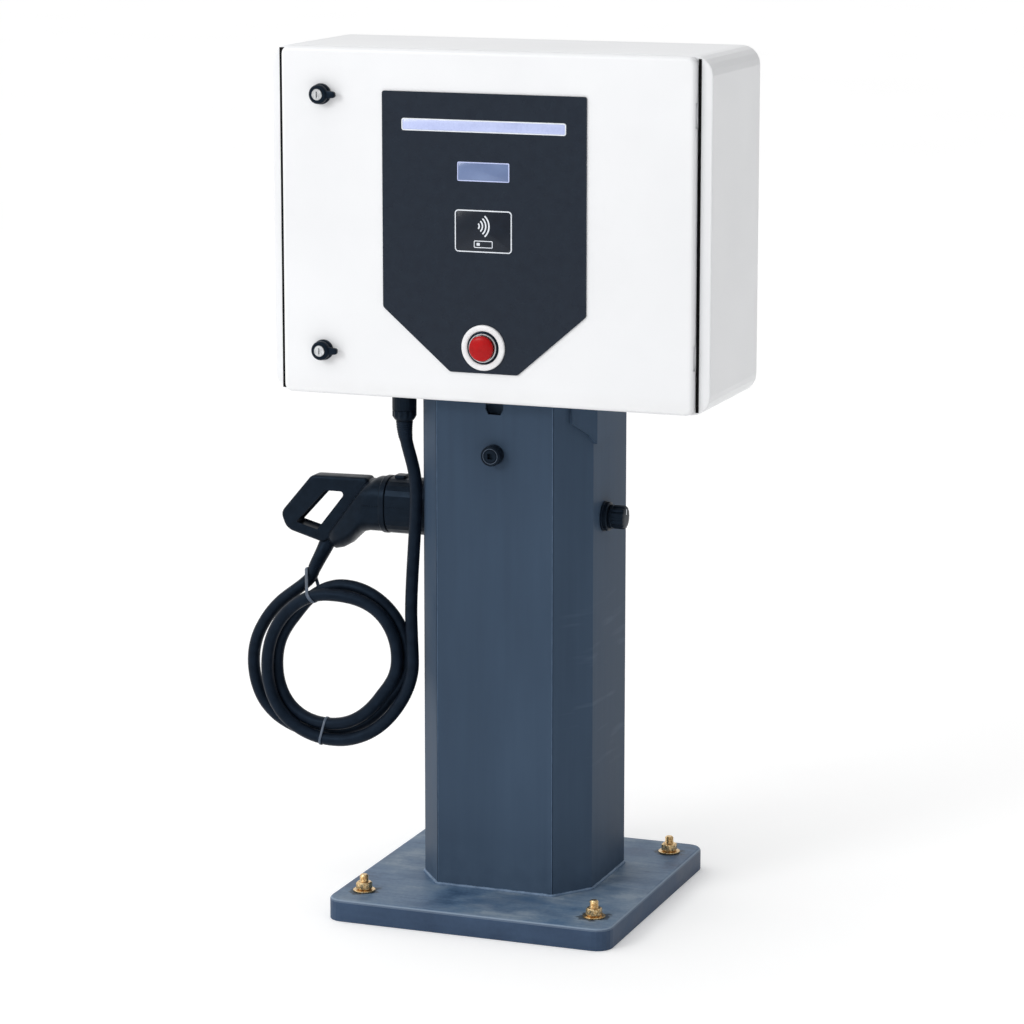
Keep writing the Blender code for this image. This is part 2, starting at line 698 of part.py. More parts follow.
def cable(rubber):
    drop = [
        (-0.1440, -0.0550, 0.6566), (-0.1440, -0.0550, 0.6500), (-0.1430, -0.0548, 0.6380),
        (-0.1405, -0.0544, 0.6250), (-0.1368, -0.0538, 0.6110), (-0.1332, -0.0531, 0.5970),
        (-0.1305, -0.0526, 0.5830), (-0.1291, -0.0522, 0.5680), (-0.1289, -0.0520, 0.5500),
        (-0.1297, -0.0520, 0.5280), (-0.1314, -0.0520, 0.5000), (-0.1334, -0.0520, 0.4700),
        (-0.1352, -0.0522, 0.4400), (-0.1363, -0.0527, 0.4120), (-0.1364, -0.0534, 0.3900),
    ]
    tube("cable_drop", drop, rubber)
    tail = [
        (-0.2946, -0.0024, 0.4536), (-0.2980, -0.0031, 0.4491), (-0.3000, -0.0052, 0.4442),
        (-0.3008, -0.0095, 0.4388), (-0.3013, -0.0148, 0.4334), (-0.3020, -0.0196, 0.4285),
        (-0.3028, -0.0235, 0.4240),
    ]
    tube("cable_tail", tail, rubber)
    profile = [(COIL_MIDDLE + COIL_WIDE * a, COIL_Y + COIL_DEEP * b) for a, b in circle(1.0, 12)]
    place("cable_coil", solid(discs(profile, 44), "Y", COIL_CENTRE, closed=True), rubber,
          (COIL_CENTRE[0], COIL_Y, COIL_CENTRE[1]))


def barrel_outline(width, height, radius):
    return rounded(width, height, radius, 6)


def holster(plastic):
    mouth, floor = SEAM_X + GAP, -0.128
    sections = [
        (barrel_outline(0.064, 0.077, 0.029), -COLUMN_HALF - GAP),
        (barrel_outline(0.064, 0.077, 0.029), mouth + 0.001),
        (barrel_outline(0.062, 0.075, 0.028), mouth),
        (barrel_outline(0.054, 0.067, 0.025), mouth),
        (barrel_outline(0.054, 0.067, 0.025), floor),
    ]
    place("holster_socket", solid(sections, "X", (0.0, HOLSTER_Z)), plastic, (SEAM_X, 0.0, HOLSTER_Z))


def connector(plastic, rubber):
    origin = (SEAM_X, 0.0, HOLSTER_Z)
    grip = filleted(
        [(-0.215, 0.568), (-0.298, 0.566), (-0.351, 0.508), (-0.334, 0.481), (-0.294, 0.473),
         (-0.276, 0.460),
         (-0.260, 0.462), (-0.232, 0.489), (-0.215, 0.491)],
        (0.0, 0.012, 0.010, 0.010, 0.008, 0.008, 0.008, 0.012, 0.0), 3,
    )
    sections = softened(lambda inset: shrunk(grip, inset), -0.0205, 0.0205, 0.006, 0.006)
    shell = place("connector_shell", solid(sections, "Y"), plastic, origin)
    loop = filleted([(-0.284, 0.545), (-0.2545, 0.5455), (-0.2955, 0.4905), (-0.3225, 0.4965)],
                    (0.005, 0.005, 0.006, 0.005), 3)
    cut(shell, prism(loop, "Y", -0.03, 0.03))
    barrel = [
        (barrel_outline(0.064, 0.077, 0.029), SEAM_X - GAP),
        (barrel_outline(0.066, 0.079, 0.030), SEAM_X - 0.0013),
        (barrel_outline(0.066, 0.079, 0.030), -0.1935),
        (barrel_outline(0.0625, 0.0755, 0.0285), -0.1950),
        (barrel_outline(0.0625, 0.0755, 0.0285), -0.2220),
        (barrel_outline(0.0560, 0.0740, 0.0250), -0.2300),
        (barrel_outline(0.0440, 0.0700, 0.0200), -0.2360),
    ]
    weld(shell, solid(barrel, "X", (0.0, HOLSTER_Z)))
    nose = [
        (barrel_outline(0.0528, 0.0658, 0.0244), SEAM_X),
        (barrel_outline(0.0528, 0.0658, 0.0244), -0.1380),
        (barrel_outline(0.0508, 0.0638, 0.0234), -0.1370),
    ]
    place("connector_nose", solid(nose, "X", (0.0, HOLSTER_Z)), plastic, origin)
    start = Vector((-0.2860, -0.0006, 0.4650))
    turn = Vector((-0.60, -0.12, -0.79)).to_track_quat("Z", "Y").to_matrix().to_4x4()
    boot = place("cable_boot", solid(discs(((0.0098, GAP), (0.0098, 0.005), (0.0086, 0.014))), "Z"), rubber)
    boot.matrix_world = Matrix.Translation(start) @ turn


def isolator(plastic, dark):
    centre, origin = (ISOLATOR_Y, ISOLATOR_Z), (COLUMN_HALF, ISOLATOR_Y, ISOLATOR_Z)
    face = 0.1300
    base = [
        (0.0195, COLUMN_HALF + GAP),
        (0.0195, face - 0.0015),
        (0.0180, face),
        (0.0043, face),
        (0.0043, 0.1080),
        (0.0110, 0.1080),
        (0.0110, COLUMN_HALF + GAP),
    ]
    place("isolator_base", solid(discs(base), "X", centre, closed=True), plastic, origin)
    knob = [
        (0.0040, 0.1120),
        (0.0040, face + GAP),
        (0.0160, face + GAP),
        (0.0160, 0.1475),
        (0.0150, 0.1505),
        (0.0125, 0.1520),
    ]
    place("isolator_knob", solid(discs(knob), "X", centre), dark, origin)


def build():
    clear_scene()
    column_blue = paint("column_blue", (0.045, 0.069, 0.102), 0.45)
    white_coat = paint("white_coat", (0.86, 0.87, 0.88), 0.35)
    zinc = paint("zinc", (0.62, 0.63, 0.64), 0.35, 1.0)
    yellow_zinc = paint("yellow_zinc", (0.58, 0.36, 0.12), 0.35, 1.0)
    steel = paint("bright_steel", (0.70, 0.70, 0.70), 0.22, 1.0)
    black_plastic = paint("black_plastic", (0.015, 0.017, 0.020), 0.45)
    fascia_black = paint("fascia_black", (0.014, 0.021, 0.031), 0.30)
    lamp = paint("lamp_lens", (0.52, 0.58, 0.83), 0.25, 0.0, 0.3)
    glass = paint("display_glass", (0.19, 0.24, 0.40), 0.12)
    reader = paint("reader_face", (0.016, 0.024, 0.035), 0.25)
    white_plastic = paint("white_plastic", (0.80, 0.80, 0.80), 0.35)
    red = paint("stop_red", (0.60, 0.016, 0.020), 0.30)
    rubber = paint("cable_rubber", (0.012, 0.014, 0.018), 0.50)
    foam = paint("gasket_foam", (0.02, 0.02, 0.02), 0.90)
    grey_plastic = paint("grey_plastic", (0.55, 0.56, 0.57), 0.45)
    base_plate(column_blue)
    anchors(yellow_zinc)
    column_shell(column_blue)
    column_front_panel(column_blue)
    column_cap_plate(column_blue)
    support_bracket(column_blue)
    column_lock(black_plastic, steel)
    cabinet_body(white_coat)
    cabinet_bolts(zinc)
    mounting_plate(zinc)
    din_rail(zinc)
    power_devices(grey_plastic, black_plastic, black_plastic)
    door_panel(white_coat)
    door_gasket(foam)
    hinges(zinc, steel)
    door_locks(black_plastic, steel)
    control_panel(fascia_black, lamp, glass, reader)
    emergency_stop(white_plastic, steel, red, black_plastic)
    gland(black_plastic)
    cable(rubber)
    holster(black_plastic)
    connector(black_plastic, rubber)
    isolator(black_plastic, black_plastic)


build()
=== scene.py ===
"""Looks of the EV charging post: its cord, connector, locks, control panel, fittings and finishes.

Metres, +Z up, front at -Y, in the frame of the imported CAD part.
"""

import math

import bmesh
import bpy
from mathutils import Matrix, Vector


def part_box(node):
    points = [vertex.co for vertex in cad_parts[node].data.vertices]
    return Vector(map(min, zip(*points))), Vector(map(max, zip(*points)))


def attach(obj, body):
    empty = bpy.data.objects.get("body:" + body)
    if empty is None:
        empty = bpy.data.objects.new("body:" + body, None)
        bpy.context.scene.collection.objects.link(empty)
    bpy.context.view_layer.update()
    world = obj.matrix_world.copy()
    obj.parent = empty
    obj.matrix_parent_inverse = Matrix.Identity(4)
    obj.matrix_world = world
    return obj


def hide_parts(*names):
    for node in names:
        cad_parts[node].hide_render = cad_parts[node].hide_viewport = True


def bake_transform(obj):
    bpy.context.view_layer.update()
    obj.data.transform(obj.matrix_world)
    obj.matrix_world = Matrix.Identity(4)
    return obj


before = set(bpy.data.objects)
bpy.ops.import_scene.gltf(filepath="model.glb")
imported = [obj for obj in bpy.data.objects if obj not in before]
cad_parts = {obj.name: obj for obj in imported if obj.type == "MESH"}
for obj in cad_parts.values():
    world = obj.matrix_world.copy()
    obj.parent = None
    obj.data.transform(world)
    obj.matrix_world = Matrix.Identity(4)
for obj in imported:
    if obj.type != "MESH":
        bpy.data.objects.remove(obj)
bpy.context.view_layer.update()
TURN = math.tau


# ---------------------------------------------------------------- camera

LENS = 129.2
LENS_DROP = -0.051
EYE = (1.700, -4.542, 1.511)
TILT, PAN = math.radians(79.4), math.radians(20.64)


def camera():
    data = bpy.data.cameras.new("camera")
    data.lens = LENS
    data.shift_y = LENS_DROP
    eye = bpy.data.objects.new("camera", data)
    eye.location = EYE
    eye.rotation_euler = (TILT, 0.0, PAN)
    bpy.context.scene.collection.objects.link(eye)
    bpy.context.scene.camera = eye


# ---------------------------------------------------------------- finishes

def srgb(red, green, blue):
    """Linear colour from display values out of 255."""
    def linear(value):
        value /= 255
        return value / 12.92 if value <= 0.04045 else ((value + 0.055) / 1.055) ** 2.4
    return (linear(red), linear(green), linear(blue), 1.0)


def add_node(tree, kind, inputs=None, **settings):
    """A node whose inputs, by name or place, are linked to a socket or given a value."""
    made = tree.nodes.new(kind)
    for name, value in settings.items():
        setattr(made, name, value)
    for name, value in (inputs or {}).items():
        if isinstance(value, bpy.types.NodeSocket):
            tree.links.new(value, made.inputs[name])
        else:
            made.inputs[name].default_value = value
    return made


class Finish:
    """A procedural material in object coordinates; heights given to bump() add up."""

    def __init__(self, slot, **sockets):
        self.material = bpy.data.materials.new(slot)
        self.material["slot"] = slot
        self.material.use_nodes = True
        self.tree = self.material.node_tree
        self.shader = self.tree.nodes["Principled BSDF"]
        self.place = self.node("ShaderNodeTexCoord").outputs["Object"]
        self.normal = None
        for name, value in sockets.items():
            self.shader.inputs[name.replace("_", " ")].default_value = value

    def node(self, kind, inputs=None, **settings):
        return add_node(self.tree, kind, inputs, **settings)

    def noise(self, size, detail=3.0, stretch=(1, 1, 1), turn=0.0):
        """Noise whose patches are about size metres wide, drawn out along an axis by stretch."""
        scale = [1 / s for s in stretch]
        spot = self.node("ShaderNodeMapping", {"Vector": self.place, "Rotation": (0, turn, 0),
                                               "Scale": scale})
        source = {"Vector": spot.outputs["Vector"], "Scale": 1 / size, "Detail": detail}
        return self.node("ShaderNodeTexNoise", source).outputs["Fac"]

    def span(self, value, low, high, start=0.0, end=1.0):
        source = {"Value": value, "From Min": low, "From Max": high, "To Min": start, "To Max": end}
        return self.node("ShaderNodeMapRange", source).outputs["Result"]

    def maths(self, operation, one, other=0.0):
        return self.node("ShaderNodeMath", {0: one, 1: other}, operation=operation).outputs["Value"]

    def plus(self, one, other):
        return self.maths("ADD", one, other)

    def times(self, one, other):
        return self.maths("MULTIPLY", one, other)

    def along(self, axis, source=None):
        split = self.node("ShaderNodeSeparateXYZ", {"Vector": source or self.place})
        return split.outputs[axis]

    def facing(self, axis):
        return self.along(axis, self.node("ShaderNodeNewGeometry").outputs["Normal"])

    def shades(self, factor, *stops):
        ramp = self.node("ShaderNodeValToRGB", {"Fac": factor})
        band = ramp.color_ramp
        while len(band.elements) < len(stops):
            band.elements.new(0.5)
        for element, (spot, colour) in zip(band.elements, stops):
            element.position = spot
            element.color = colour
        return ramp.outputs["Color"]

    def mix(self, factor, one, other):
        colour_a, colour_b, colour_result = 6, 7, 2
        source = {"Factor": factor, colour_a: one, colour_b: other}
        return self.node("ShaderNodeMix", source, data_type="RGBA").outputs[colour_result]

    def colour(self, value):
        self.tree.links.new(value, self.shader.inputs["Base Color"])

    def roughness(self, value):
        self.tree.links.new(value, self.shader.inputs["Roughness"])

    def glow(self, value, strength):
        self.tree.links.new(value, self.shader.inputs["Emission Color"])
        self.shader.inputs["Emission Strength"].default_value = strength

    def bump(self, height, depth, strength=1.0):
        source = {"Height": height, "Distance": depth, "Strength": strength}
        if self.normal:
            source["Normal"] = self.normal
        self.normal = self.node("ShaderNodeBump", source).outputs["Normal"]
        self.tree.links.new(self.normal, self.shader.inputs["Normal"])


def column_paint():
    """Slate blue powder coat with streaks of dust and rubbed strokes low on the right chamfer."""
    paint = Finish("column_blue", Specular_IOR_Level=0.08)
    drift = paint.noise(0.16, 4.0, (1, 1, 3))
    streak = paint.noise(0.010, 3.0, (1, 1, 22))
    tone = paint.plus(paint.times(drift, 0.8), paint.times(streak, 0.2))
    base = paint.shades(tone, (0.30, srgb(51, 66, 84)), (0.50, srgb(56, 72, 91)), (0.72, srgb(63, 80, 100)))
    strokes = paint.span(paint.noise(0.011, 2.0, (9, 9, 1), math.radians(-28)), 0.58, 0.78)
    low = paint.span(paint.along("Z"), 0.46, 0.36)
    high = paint.span(paint.along("Z"), 0.16, 0.22)
    side = paint.span(paint.along("X"), 0.085, 0.098)
    mask = paint.times(paint.times(low, high), side)
    rubbed = paint.times(paint.times(strokes, mask), 0.30)
    dust = paint.times(paint.span(paint.along("Z"), 0.10, 0.035), paint.noise(0.02, 4.0))
    base = paint.mix(rubbed, base, srgb(92, 108, 128))
    paint.colour(paint.mix(paint.times(dust, 0.5), base, srgb(84, 103, 125)))
    paint.roughness(paint.span(drift, 0.3, 0.7, 0.44, 0.58))
    paint.bump(paint.noise(0.0016, 2.0), 0.00012, 0.35)
    paint.bump(paint.noise(0.0005, 1.0), 0.00005, 0.3)
    return paint


def plate_paint():
    """The same coat on the base plate: its top painted lighter than its sides, partly scuffs and dust from
    feet and partly painted light on the upward face, with a painted highlight along the bevels.
    """
    paint = Finish("column_blue", Specular_IOR_Level=0.22)
    cloud = paint.noise(0.070, 6.0)
    patch = paint.span(paint.noise(0.045, 4.0, (1.8, 1, 1)), 0.50, 0.66)
    fine = paint.noise(0.006, 5.0)
    swipe = paint.noise(0.007, 3.0, (9, 1, 1))
    tone = paint.plus(paint.times(cloud, 0.7), paint.times(fine, 0.15))
    tone = paint.plus(tone, paint.times(swipe, 0.15))
    top = paint.shades(tone, (0.36, srgb(56, 80, 108)), (0.46, srgb(82, 107, 134)),
                       (0.54, srgb(102, 122, 143)), (0.63, srgb(128, 143, 158)))
    top = paint.mix(paint.times(patch, 0.55), top, srgb(58, 84, 114))
    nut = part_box("anchor_nut_1")
    spread = []
    for axis, spot in (("X", abs(nut[0].x + nut[1].x) / 2), ("Y", abs(nut[0].y + nut[1].y) / 2)):
        away = paint.maths("SUBTRACT", paint.maths("ABSOLUTE", paint.along(axis)), spot)
        spread.append(paint.times(away, away))
    far = paint.maths("POWER", paint.plus(*spread), 0.5)
    rough = paint.plus(far, paint.span(paint.noise(0.012, 4.0), 0.3, 0.7, -0.007, 0.007))
    top = paint.mix(paint.span(rough, 0.021, 0.016, 0.0, 0.75), top, srgb(34, 40, 48))
    edge = paint.shades(tone, (0.35, srgb(42, 60, 84)), (0.65, srgb(56, 76, 102)))
    # Upward faces take the light top colour and the sides the darker one: scuffs and dust, plus painted
    # light on top and painted shade on the sides.
    upward_light_and_wear = paint.span(paint.facing("Z"), 0.45, 0.95)
    # A lighter band on the bevels between top and sides is a painted highlight.
    rim = paint.times(paint.span(paint.facing("Z"), 0.15, 0.45),
                    paint.span(paint.facing("Z"), 0.97, 0.80))
    paint.colour(paint.mix(paint.times(rim, 0.7), paint.mix(upward_light_and_wear, edge, top), srgb(138, 154, 172)))
    paint.roughness(paint.span(cloud, 0.3, 0.7, 0.38, 0.60))
    paint.bump(fine, 0.0002, 0.3)
    paint.bump(paint.noise(0.0012, 2.0), 0.0001, 0.35)
    return paint


def white_paint():
    paint = Finish("white_coat", Specular_IOR_Level=0.5, Coat_Weight=0.10, Coat_Roughness=0.2)
    drift = paint.noise(0.20, 3.0)
    grime = paint.times(paint.span(paint.along("Z"), 0.725, 0.700), paint.noise(0.03, 5.0))
    coat = paint.shades(drift, (0.3, srgb(228, 229, 231)), (0.7, srgb(233, 234, 236)))
    paint.colour(paint.mix(paint.times(grime, 0.25), coat, srgb(200, 198, 192)))
    paint.roughness(paint.span(paint.noise(0.05, 3.0), 0.3, 0.7, 0.30, 0.42))
    paint.bump(paint.noise(0.0026, 2.0), 0.00016, 0.22)
    paint.bump(paint.noise(0.0008, 1.0), 0.00005, 0.25)
    return paint


def metal(slot, dark, light, low, high, grain=(1, 1, 1), size=0.004):
    """Bare or plated metal: cloudy tone, drawn-out grain and fine pits."""
    steel = Finish(slot, Metallic=1.0)
    cloud = steel.noise(size, 4.0, grain)
    steel.colour(steel.shades(cloud, (0.3, dark), (0.7, light)))
    steel.roughness(steel.span(steel.noise(size * 0.7, 4.0, grain), 0.3, 0.7, low, high))
    steel.bump(steel.noise(size * 0.2, 3.0, grain), 0.00005, 0.4)
    return steel


def plastic(slot, dark, light, low, high, grain=0.0009, depth=0.00006, **sockets):
    """Moulded plastic or rubber: a spark-eroded grain, with handling marks in the gloss."""
    moulded = Finish(slot, **sockets)
    moulded.colour(moulded.shades(moulded.noise(0.012, 5.0), (0.3, dark), (0.7, light)))
    moulded.roughness(moulded.span(moulded.noise(0.02, 4.0), 0.3, 0.7, low, high))
    moulded.bump(moulded.noise(grain, 2.0), depth, 0.5)
    return moulded


def lamp_lens():
    lens = Finish("lamp_lens", Coat_Weight=0.2, Coat_Roughness=0.08)
    tone = lens.shades(lens.noise(0.030, 3.0, (2, 1, 1)), (0.3, srgb(172, 182, 222)),
                       (0.7, srgb(190, 200, 236)))
    lens.colour(tone)
    lens.glow(tone, 0.06)
    lens.roughness(lens.span(lens.noise(0.004, 2.0), 0.3, 0.7, 0.22, 0.34))
    lens.bump(lens.maths("SINE", lens.times(lens.along("X"), 1800.0)), 0.00006, 0.2)
    return lens


def display_glass():
    """A backlit panel seen through glass, with a faint raster."""
    glass = Finish("display_glass", Specular_IOR_Level=0.3, Coat_Weight=0.3, Coat_Roughness=0.04)
    raster = glass.maths("SINE", glass.times(glass.along("Z"), 6500.0))
    cloud = glass.span(glass.noise(0.03, 2.0), 0.3, 0.7, -0.2, 0.2)
    tone = glass.shades(glass.plus(glass.span(raster, -1.0, 1.0, 0.35, 0.65), cloud),
                        (0.2, srgb(96, 112, 150)), (0.8, srgb(112, 130, 168)))
    glass.colour(tone)
    glass.glow(tone, 0.05)
    glass.roughness(glass.span(cloud, -0.2, 0.2, 0.10, 0.18))
    return glass


COOL = (0.42, 0.66, 1.0, 1.0)


def build_finishes():
    return {
        "column_blue": column_paint(),
        "white_coat": white_paint(),
        "zinc": metal("zinc", srgb(150, 153, 156), srgb(190, 193, 196), 0.30, 0.48, size=0.010),
        "yellow_zinc": metal("yellow_zinc", srgb(176, 134, 78), srgb(250, 226, 178), 0.18, 0.42,
                             size=0.0022),
        "bright_steel": metal("bright_steel", srgb(176, 178, 180), srgb(214, 216, 218), 0.16, 0.30),
        "black_plastic": plastic("black_plastic", srgb(10, 15, 22), srgb(16, 23, 32), 0.32, 0.46,
                                 Specular_IOR_Level=0.15, Specular_Tint=COOL),
        "fascia_black": plastic("fascia_black", srgb(26, 34, 46), srgb(29, 38, 50), 0.24, 0.32, 0.0006,
                                0.00003, Specular_IOR_Level=0.16),
        "lamp_lens": lamp_lens(),
        "display_glass": display_glass(),
        "reader_face": plastic("reader_face", srgb(18, 25, 36), srgb(22, 30, 42), 0.12, 0.20, 0.0006,
                               0.00001, Specular_IOR_Level=0.25),
        "white_plastic": plastic("white_plastic", srgb(222, 222, 224), srgb(234, 234, 236), 0.30, 0.42),
        "stop_red": plastic("stop_red", srgb(156, 5, 9), srgb(176, 9, 14), 0.20, 0.34, 0.0012, 0.00003,
                            Specular_IOR_Level=0.18),
        "cable_rubber": plastic("cable_rubber", srgb(10, 16, 25), srgb(18, 26, 37), 0.38, 0.52, 0.0010,
                                0.00008, Specular_IOR_Level=0.15, Specular_Tint=COOL),
        "gasket_foam": plastic("gasket_foam", srgb(10, 10, 11), srgb(18, 18, 19), 0.85, 0.95, 0.0014,
                               0.00030, Specular_IOR_Level=0.1),
        "grey_plastic": plastic("grey_plastic", srgb(172, 175, 178), srgb(190, 193, 196), 0.42, 0.55),
        "plate": plate_paint(),
        "print": plastic("white_plastic", srgb(214, 220, 228), srgb(232, 236, 242), 0.35, 0.45, 0.0005,
                         0.00002),
        # Lighter blues for the foot weld bead and the front panel's side edges: painted highlights.
        "weld_painted_highlight": plastic("column_blue", srgb(84, 106, 132), srgb(116, 138, 164), 0.35, 0.5, 0.0020,
                             0.00010, Specular_IOR_Level=0.3),
        "seam_painted_highlight": plastic("column_blue", srgb(66, 84, 106), srgb(84, 104, 128), 0.45, 0.6, 0.0020,
                             0.00005, Specular_IOR_Level=0.1),
        "strap": plastic("cable_rubber", srgb(52, 64, 80), srgb(70, 84, 102), 0.32, 0.45),
    }


def dress_cad(finishes):
    """Every carried-over CAD node takes the finish of its slot; sheet edges are eased for the light."""
    slots = {}
    for name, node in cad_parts.items():
        slots[name] = node.data.materials[0].name.split(".")[0]
    for name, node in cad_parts.items():
        finish = finishes["plate"] if name == "base_plate" else finishes[slots[name]]
        if name.startswith(("hinge_arm", "hinge_block")):
            finish = finishes["white_coat"]
        node.data.materials.clear()
        node.data.materials.append(finish.material)
    for name in ("column_front_panel", "support_bracket", "column_cap_plate", "column_shell"):
        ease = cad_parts[name].modifiers.new("eased edges", "BEVEL")
        ease.width = 0.0006
        ease.segments = 2
        ease.limit_method = "ANGLE"
        ease.angle_limit = math.radians(30)
        ease.harden_normals = True


# ---------------------------------------------------------------- mesh tools

AXES = {"X": (Vector((0, 1, 0)), Vector((0, 0, 1)), Vector((1, 0, 0))),
        "Y": (Vector((1, 0, 0)), Vector((0, 0, 1)), Vector((0, 1, 0))),
        "Z": (Vector((1, 0, 0)), Vector((0, 1, 0)), Vector((0, 0, 1)))}


def piece(name, mesh, finish, body, replaces=(), angle=35, subdivide=0, ride=True):
    bmesh.ops.recalc_face_normals(mesh, faces=mesh.faces)
    if mesh.calc_volume(signed=True) < 0:
        bmesh.ops.reverse_faces(mesh, faces=mesh.faces)
    data = bpy.data.meshes.new(name)
    mesh.to_mesh(data)
    mesh.free()
    data.shade_smooth()
    data.set_sharp_from_angle(angle=math.radians(angle))
    data.materials.append(finish.material)
    obj = bpy.data.objects.new(name, data)
    bpy.context.scene.collection.objects.link(obj)
    if subdivide:
        smooth = obj.modifiers.new("smooth", "SUBSURF")
        smooth.levels = smooth.render_levels = subdivide
    if ride:
        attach(obj, body)
    if replaces:
        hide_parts(*replaces)
    return obj


def loft(rings, cyclic=False, mesh=None):
    """A closed skin through rings of equal count; capped unless cyclic."""
    mesh = mesh or bmesh.new()
    made = [[mesh.verts.new(spot) for spot in ring] for ring in rings]
    pairs = list(zip(made, made[1:]))
    if cyclic:
        pairs.append((made[-1], made[0]))
    else:
        mesh.faces.new(made[0])
        mesh.faces.new(made[-1])
    for one, other in pairs:
        for k in range(len(one)):
            j = (k + 1) % len(one)
            mesh.faces.new((one[k], one[j], other[j], other[k]))
    return mesh


def ring(outline, axis, centre, along):
    """Outline points (a, b) round centre, laid square to an axis at the distance along."""
    across, up, out = AXES[axis]
    return [across * (centre[0] + a) + up * (centre[1] + b) + out * along for a, b in outline]


def stack(sections, axis, centre=(0.0, 0.0), cyclic=False, mesh=None):
    return loft([ring(outline, axis, centre, along) for outline, along in sections], cyclic, mesh)


def circle(radius, count=48, ribs=0, depth=0.0):
    points = []
    for k in range(count):
        angle = TURN * k / count
        reach = radius + depth * math.cos(ribs * angle)
        points.append((reach * math.cos(angle), reach * math.sin(angle)))
    return points


def polygon(width, height, count=48, sides=4):
    """A rectangle, or a hexagon across its flats, sampled at the angles of circle()."""
    points = []
    for k in range(count):
        angle = TURN * k / count
        if sides == 4:
            reach = min(width / 2 / max(abs(math.cos(angle)), 1e-6),
                        height / 2 / max(abs(math.sin(angle)), 1e-6))
        else:
            off = (angle + math.pi / 6) % (math.pi / 3) - math.pi / 6
            reach = width / 2 / math.cos(off)
        points.append((reach * math.cos(angle), reach * math.sin(angle)))
    return points


def rounded(width, height, radius, steps=6):
    points = []
    for corner, (side, up) in enumerate(((1, 1), (-1, 1), (-1, -1), (1, -1))):
        for k in range(steps + 1):
            angle = math.radians(90 * (corner + k / steps))
            points.append((side * (width / 2 - radius) + radius * math.cos(angle),
                           up * (height / 2 - radius) + radius * math.sin(angle)))
    return points


def turned(profile, axis, centre, cyclic=False, count=48, mesh=None):
    """A turned piece from (radius, along) pairs, or (radius, along, ribs, rib depth)."""
    sections = [(circle(step[0], count, *step[2:]), step[1]) for step in profile]
    return stack(sections, axis, centre, cyclic, mesh)


def filleted(corners, radii, steps=5):
    points = []
    for k, radius in enumerate(radii):
        here = Vector(corners[k])
        back = (Vector(corners[k - 1]) - here).normalized()
        on = (Vector(corners[(k + 1) % len(corners)]) - here).normalized()
        if not radius:
            points.append(tuple(here))
            continue
        half = back.angle(on) / 2
        centre = here + (back + on).normalized() * radius / math.sin(half)
        reach = radius / math.tan(half)
        first = (here + back * reach - centre).normalized()
        last = (here + on * reach - centre).normalized()
        points += [tuple(centre + first.slerp(last, j / steps) * radius) for j in range(steps + 1)]
    return points


def slab(outline, low, high, axis, centre=(0.0, 0.0), mesh=None):
    """A straight-sided piece of an outline between two levels."""
    return stack([(outline, low), (outline, high)], axis, centre, mesh=mesh)


def shrunk(outline, inset):
    """A smooth closed outline moved inwards."""
    count = len(outline)
    area = sum(outline[k - 1][0] * outline[k][1] - outline[k][0] * outline[k - 1][1] for k in range(count))
    side = math.copysign(inset, area)
    points = []
    for k, (x, y) in enumerate(outline):
        run = (Vector(outline[(k + 1) % count]) - Vector(outline[k - 1])).normalized()
        points.append((x - side * run.y, y + side * run.x))
    return points


def pillow(outline, low, high, radius, steps=4, side=1):
    """Sections of an outline between two levels, with both rims rounded; a hole's rims have side -1."""
    sections = []
    for k in range(steps + 1):
        turn = math.radians(90 * k / steps)
        sections.append((shrunk(outline, side * radius * (1 - math.sin(turn))),
                         low + radius * (1 - math.cos(turn))))
    for k in range(steps + 1):
        turn = math.radians(90 * k / steps)
        sections.append((shrunk(outline, side * radius * (1 - math.cos(turn))),
                         high - radius * (1 - math.sin(turn))))
    return sections


def rays(outline, centre, count):
    """An outline sampled where evenly turned rays from a centre meet it."""
    points = []
    for k in range(count):
        way = Vector((math.cos(TURN * k / count), math.sin(TURN * k / count)))
        for a, b in zip(outline, [*outline[1:], outline[0]]):
            start, run = Vector(a) - Vector(centre), Vector(b) - Vector(a)
            cross = run.x * way.y - run.y * way.x
            if abs(cross) < 1e-12:
                continue
            share = (way.x * start.y - way.y * start.x) / cross
            if 0.0 <= share <= 1.0 and (start + run * share).dot(way) > 0:
                points.append(tuple(Vector(centre) + start + run * share))
                break
    return points


def band(outline, width, back, front, ease=0.0003):
    """Sections of a flat frame of a given width just inside an outline, for a cyclic stack."""
    inner = shrunk(outline, width)
    return [(outline, back), (outline, front + ease), (shrunk(outline, ease), front),
            (shrunk(inner, -ease), front), (inner, front + ease), (inner, back)]


def spline(points, step):
    """Points about a step apart on a centripetal Catmull-Rom curve through the given points."""
    points = [Vector(p) for p in points]
    ends = [points[0] * 2 - points[1]] + points + [points[-1] * 2 - points[-2]]
    made = [points[0]]
    for p0, p1, p2, p3 in zip(ends, ends[1:], ends[2:], ends[3:]):
        t1 = (p1 - p0).length ** 0.5
        t2 = t1 + (p2 - p1).length ** 0.5
        t3 = t2 + (p3 - p2).length ** 0.5
        count = max(1, round((p2 - p1).length / step))
        for k in range(1, count + 1):
            t = t1 + (t2 - t1) * k / count
            a1 = p0 * ((t1 - t) / t1) + p1 * (t / t1)
            a2 = p1 * ((t2 - t) / (t2 - t1)) + p2 * ((t - t1) / (t2 - t1))
            a3 = p2 * ((t3 - t) / (t3 - t2)) + p3 * ((t - t2) / (t3 - t2))
            b1 = a1 * ((t2 - t) / t2) + a2 * (t / t2)
            b2 = a2 * ((t3 - t) / (t3 - t1)) + a3 * ((t - t1) / (t3 - t1))
            made.append(b1 * ((t2 - t) / (t2 - t1)) + b2 * ((t - t1) / (t2 - t1)))
    return made


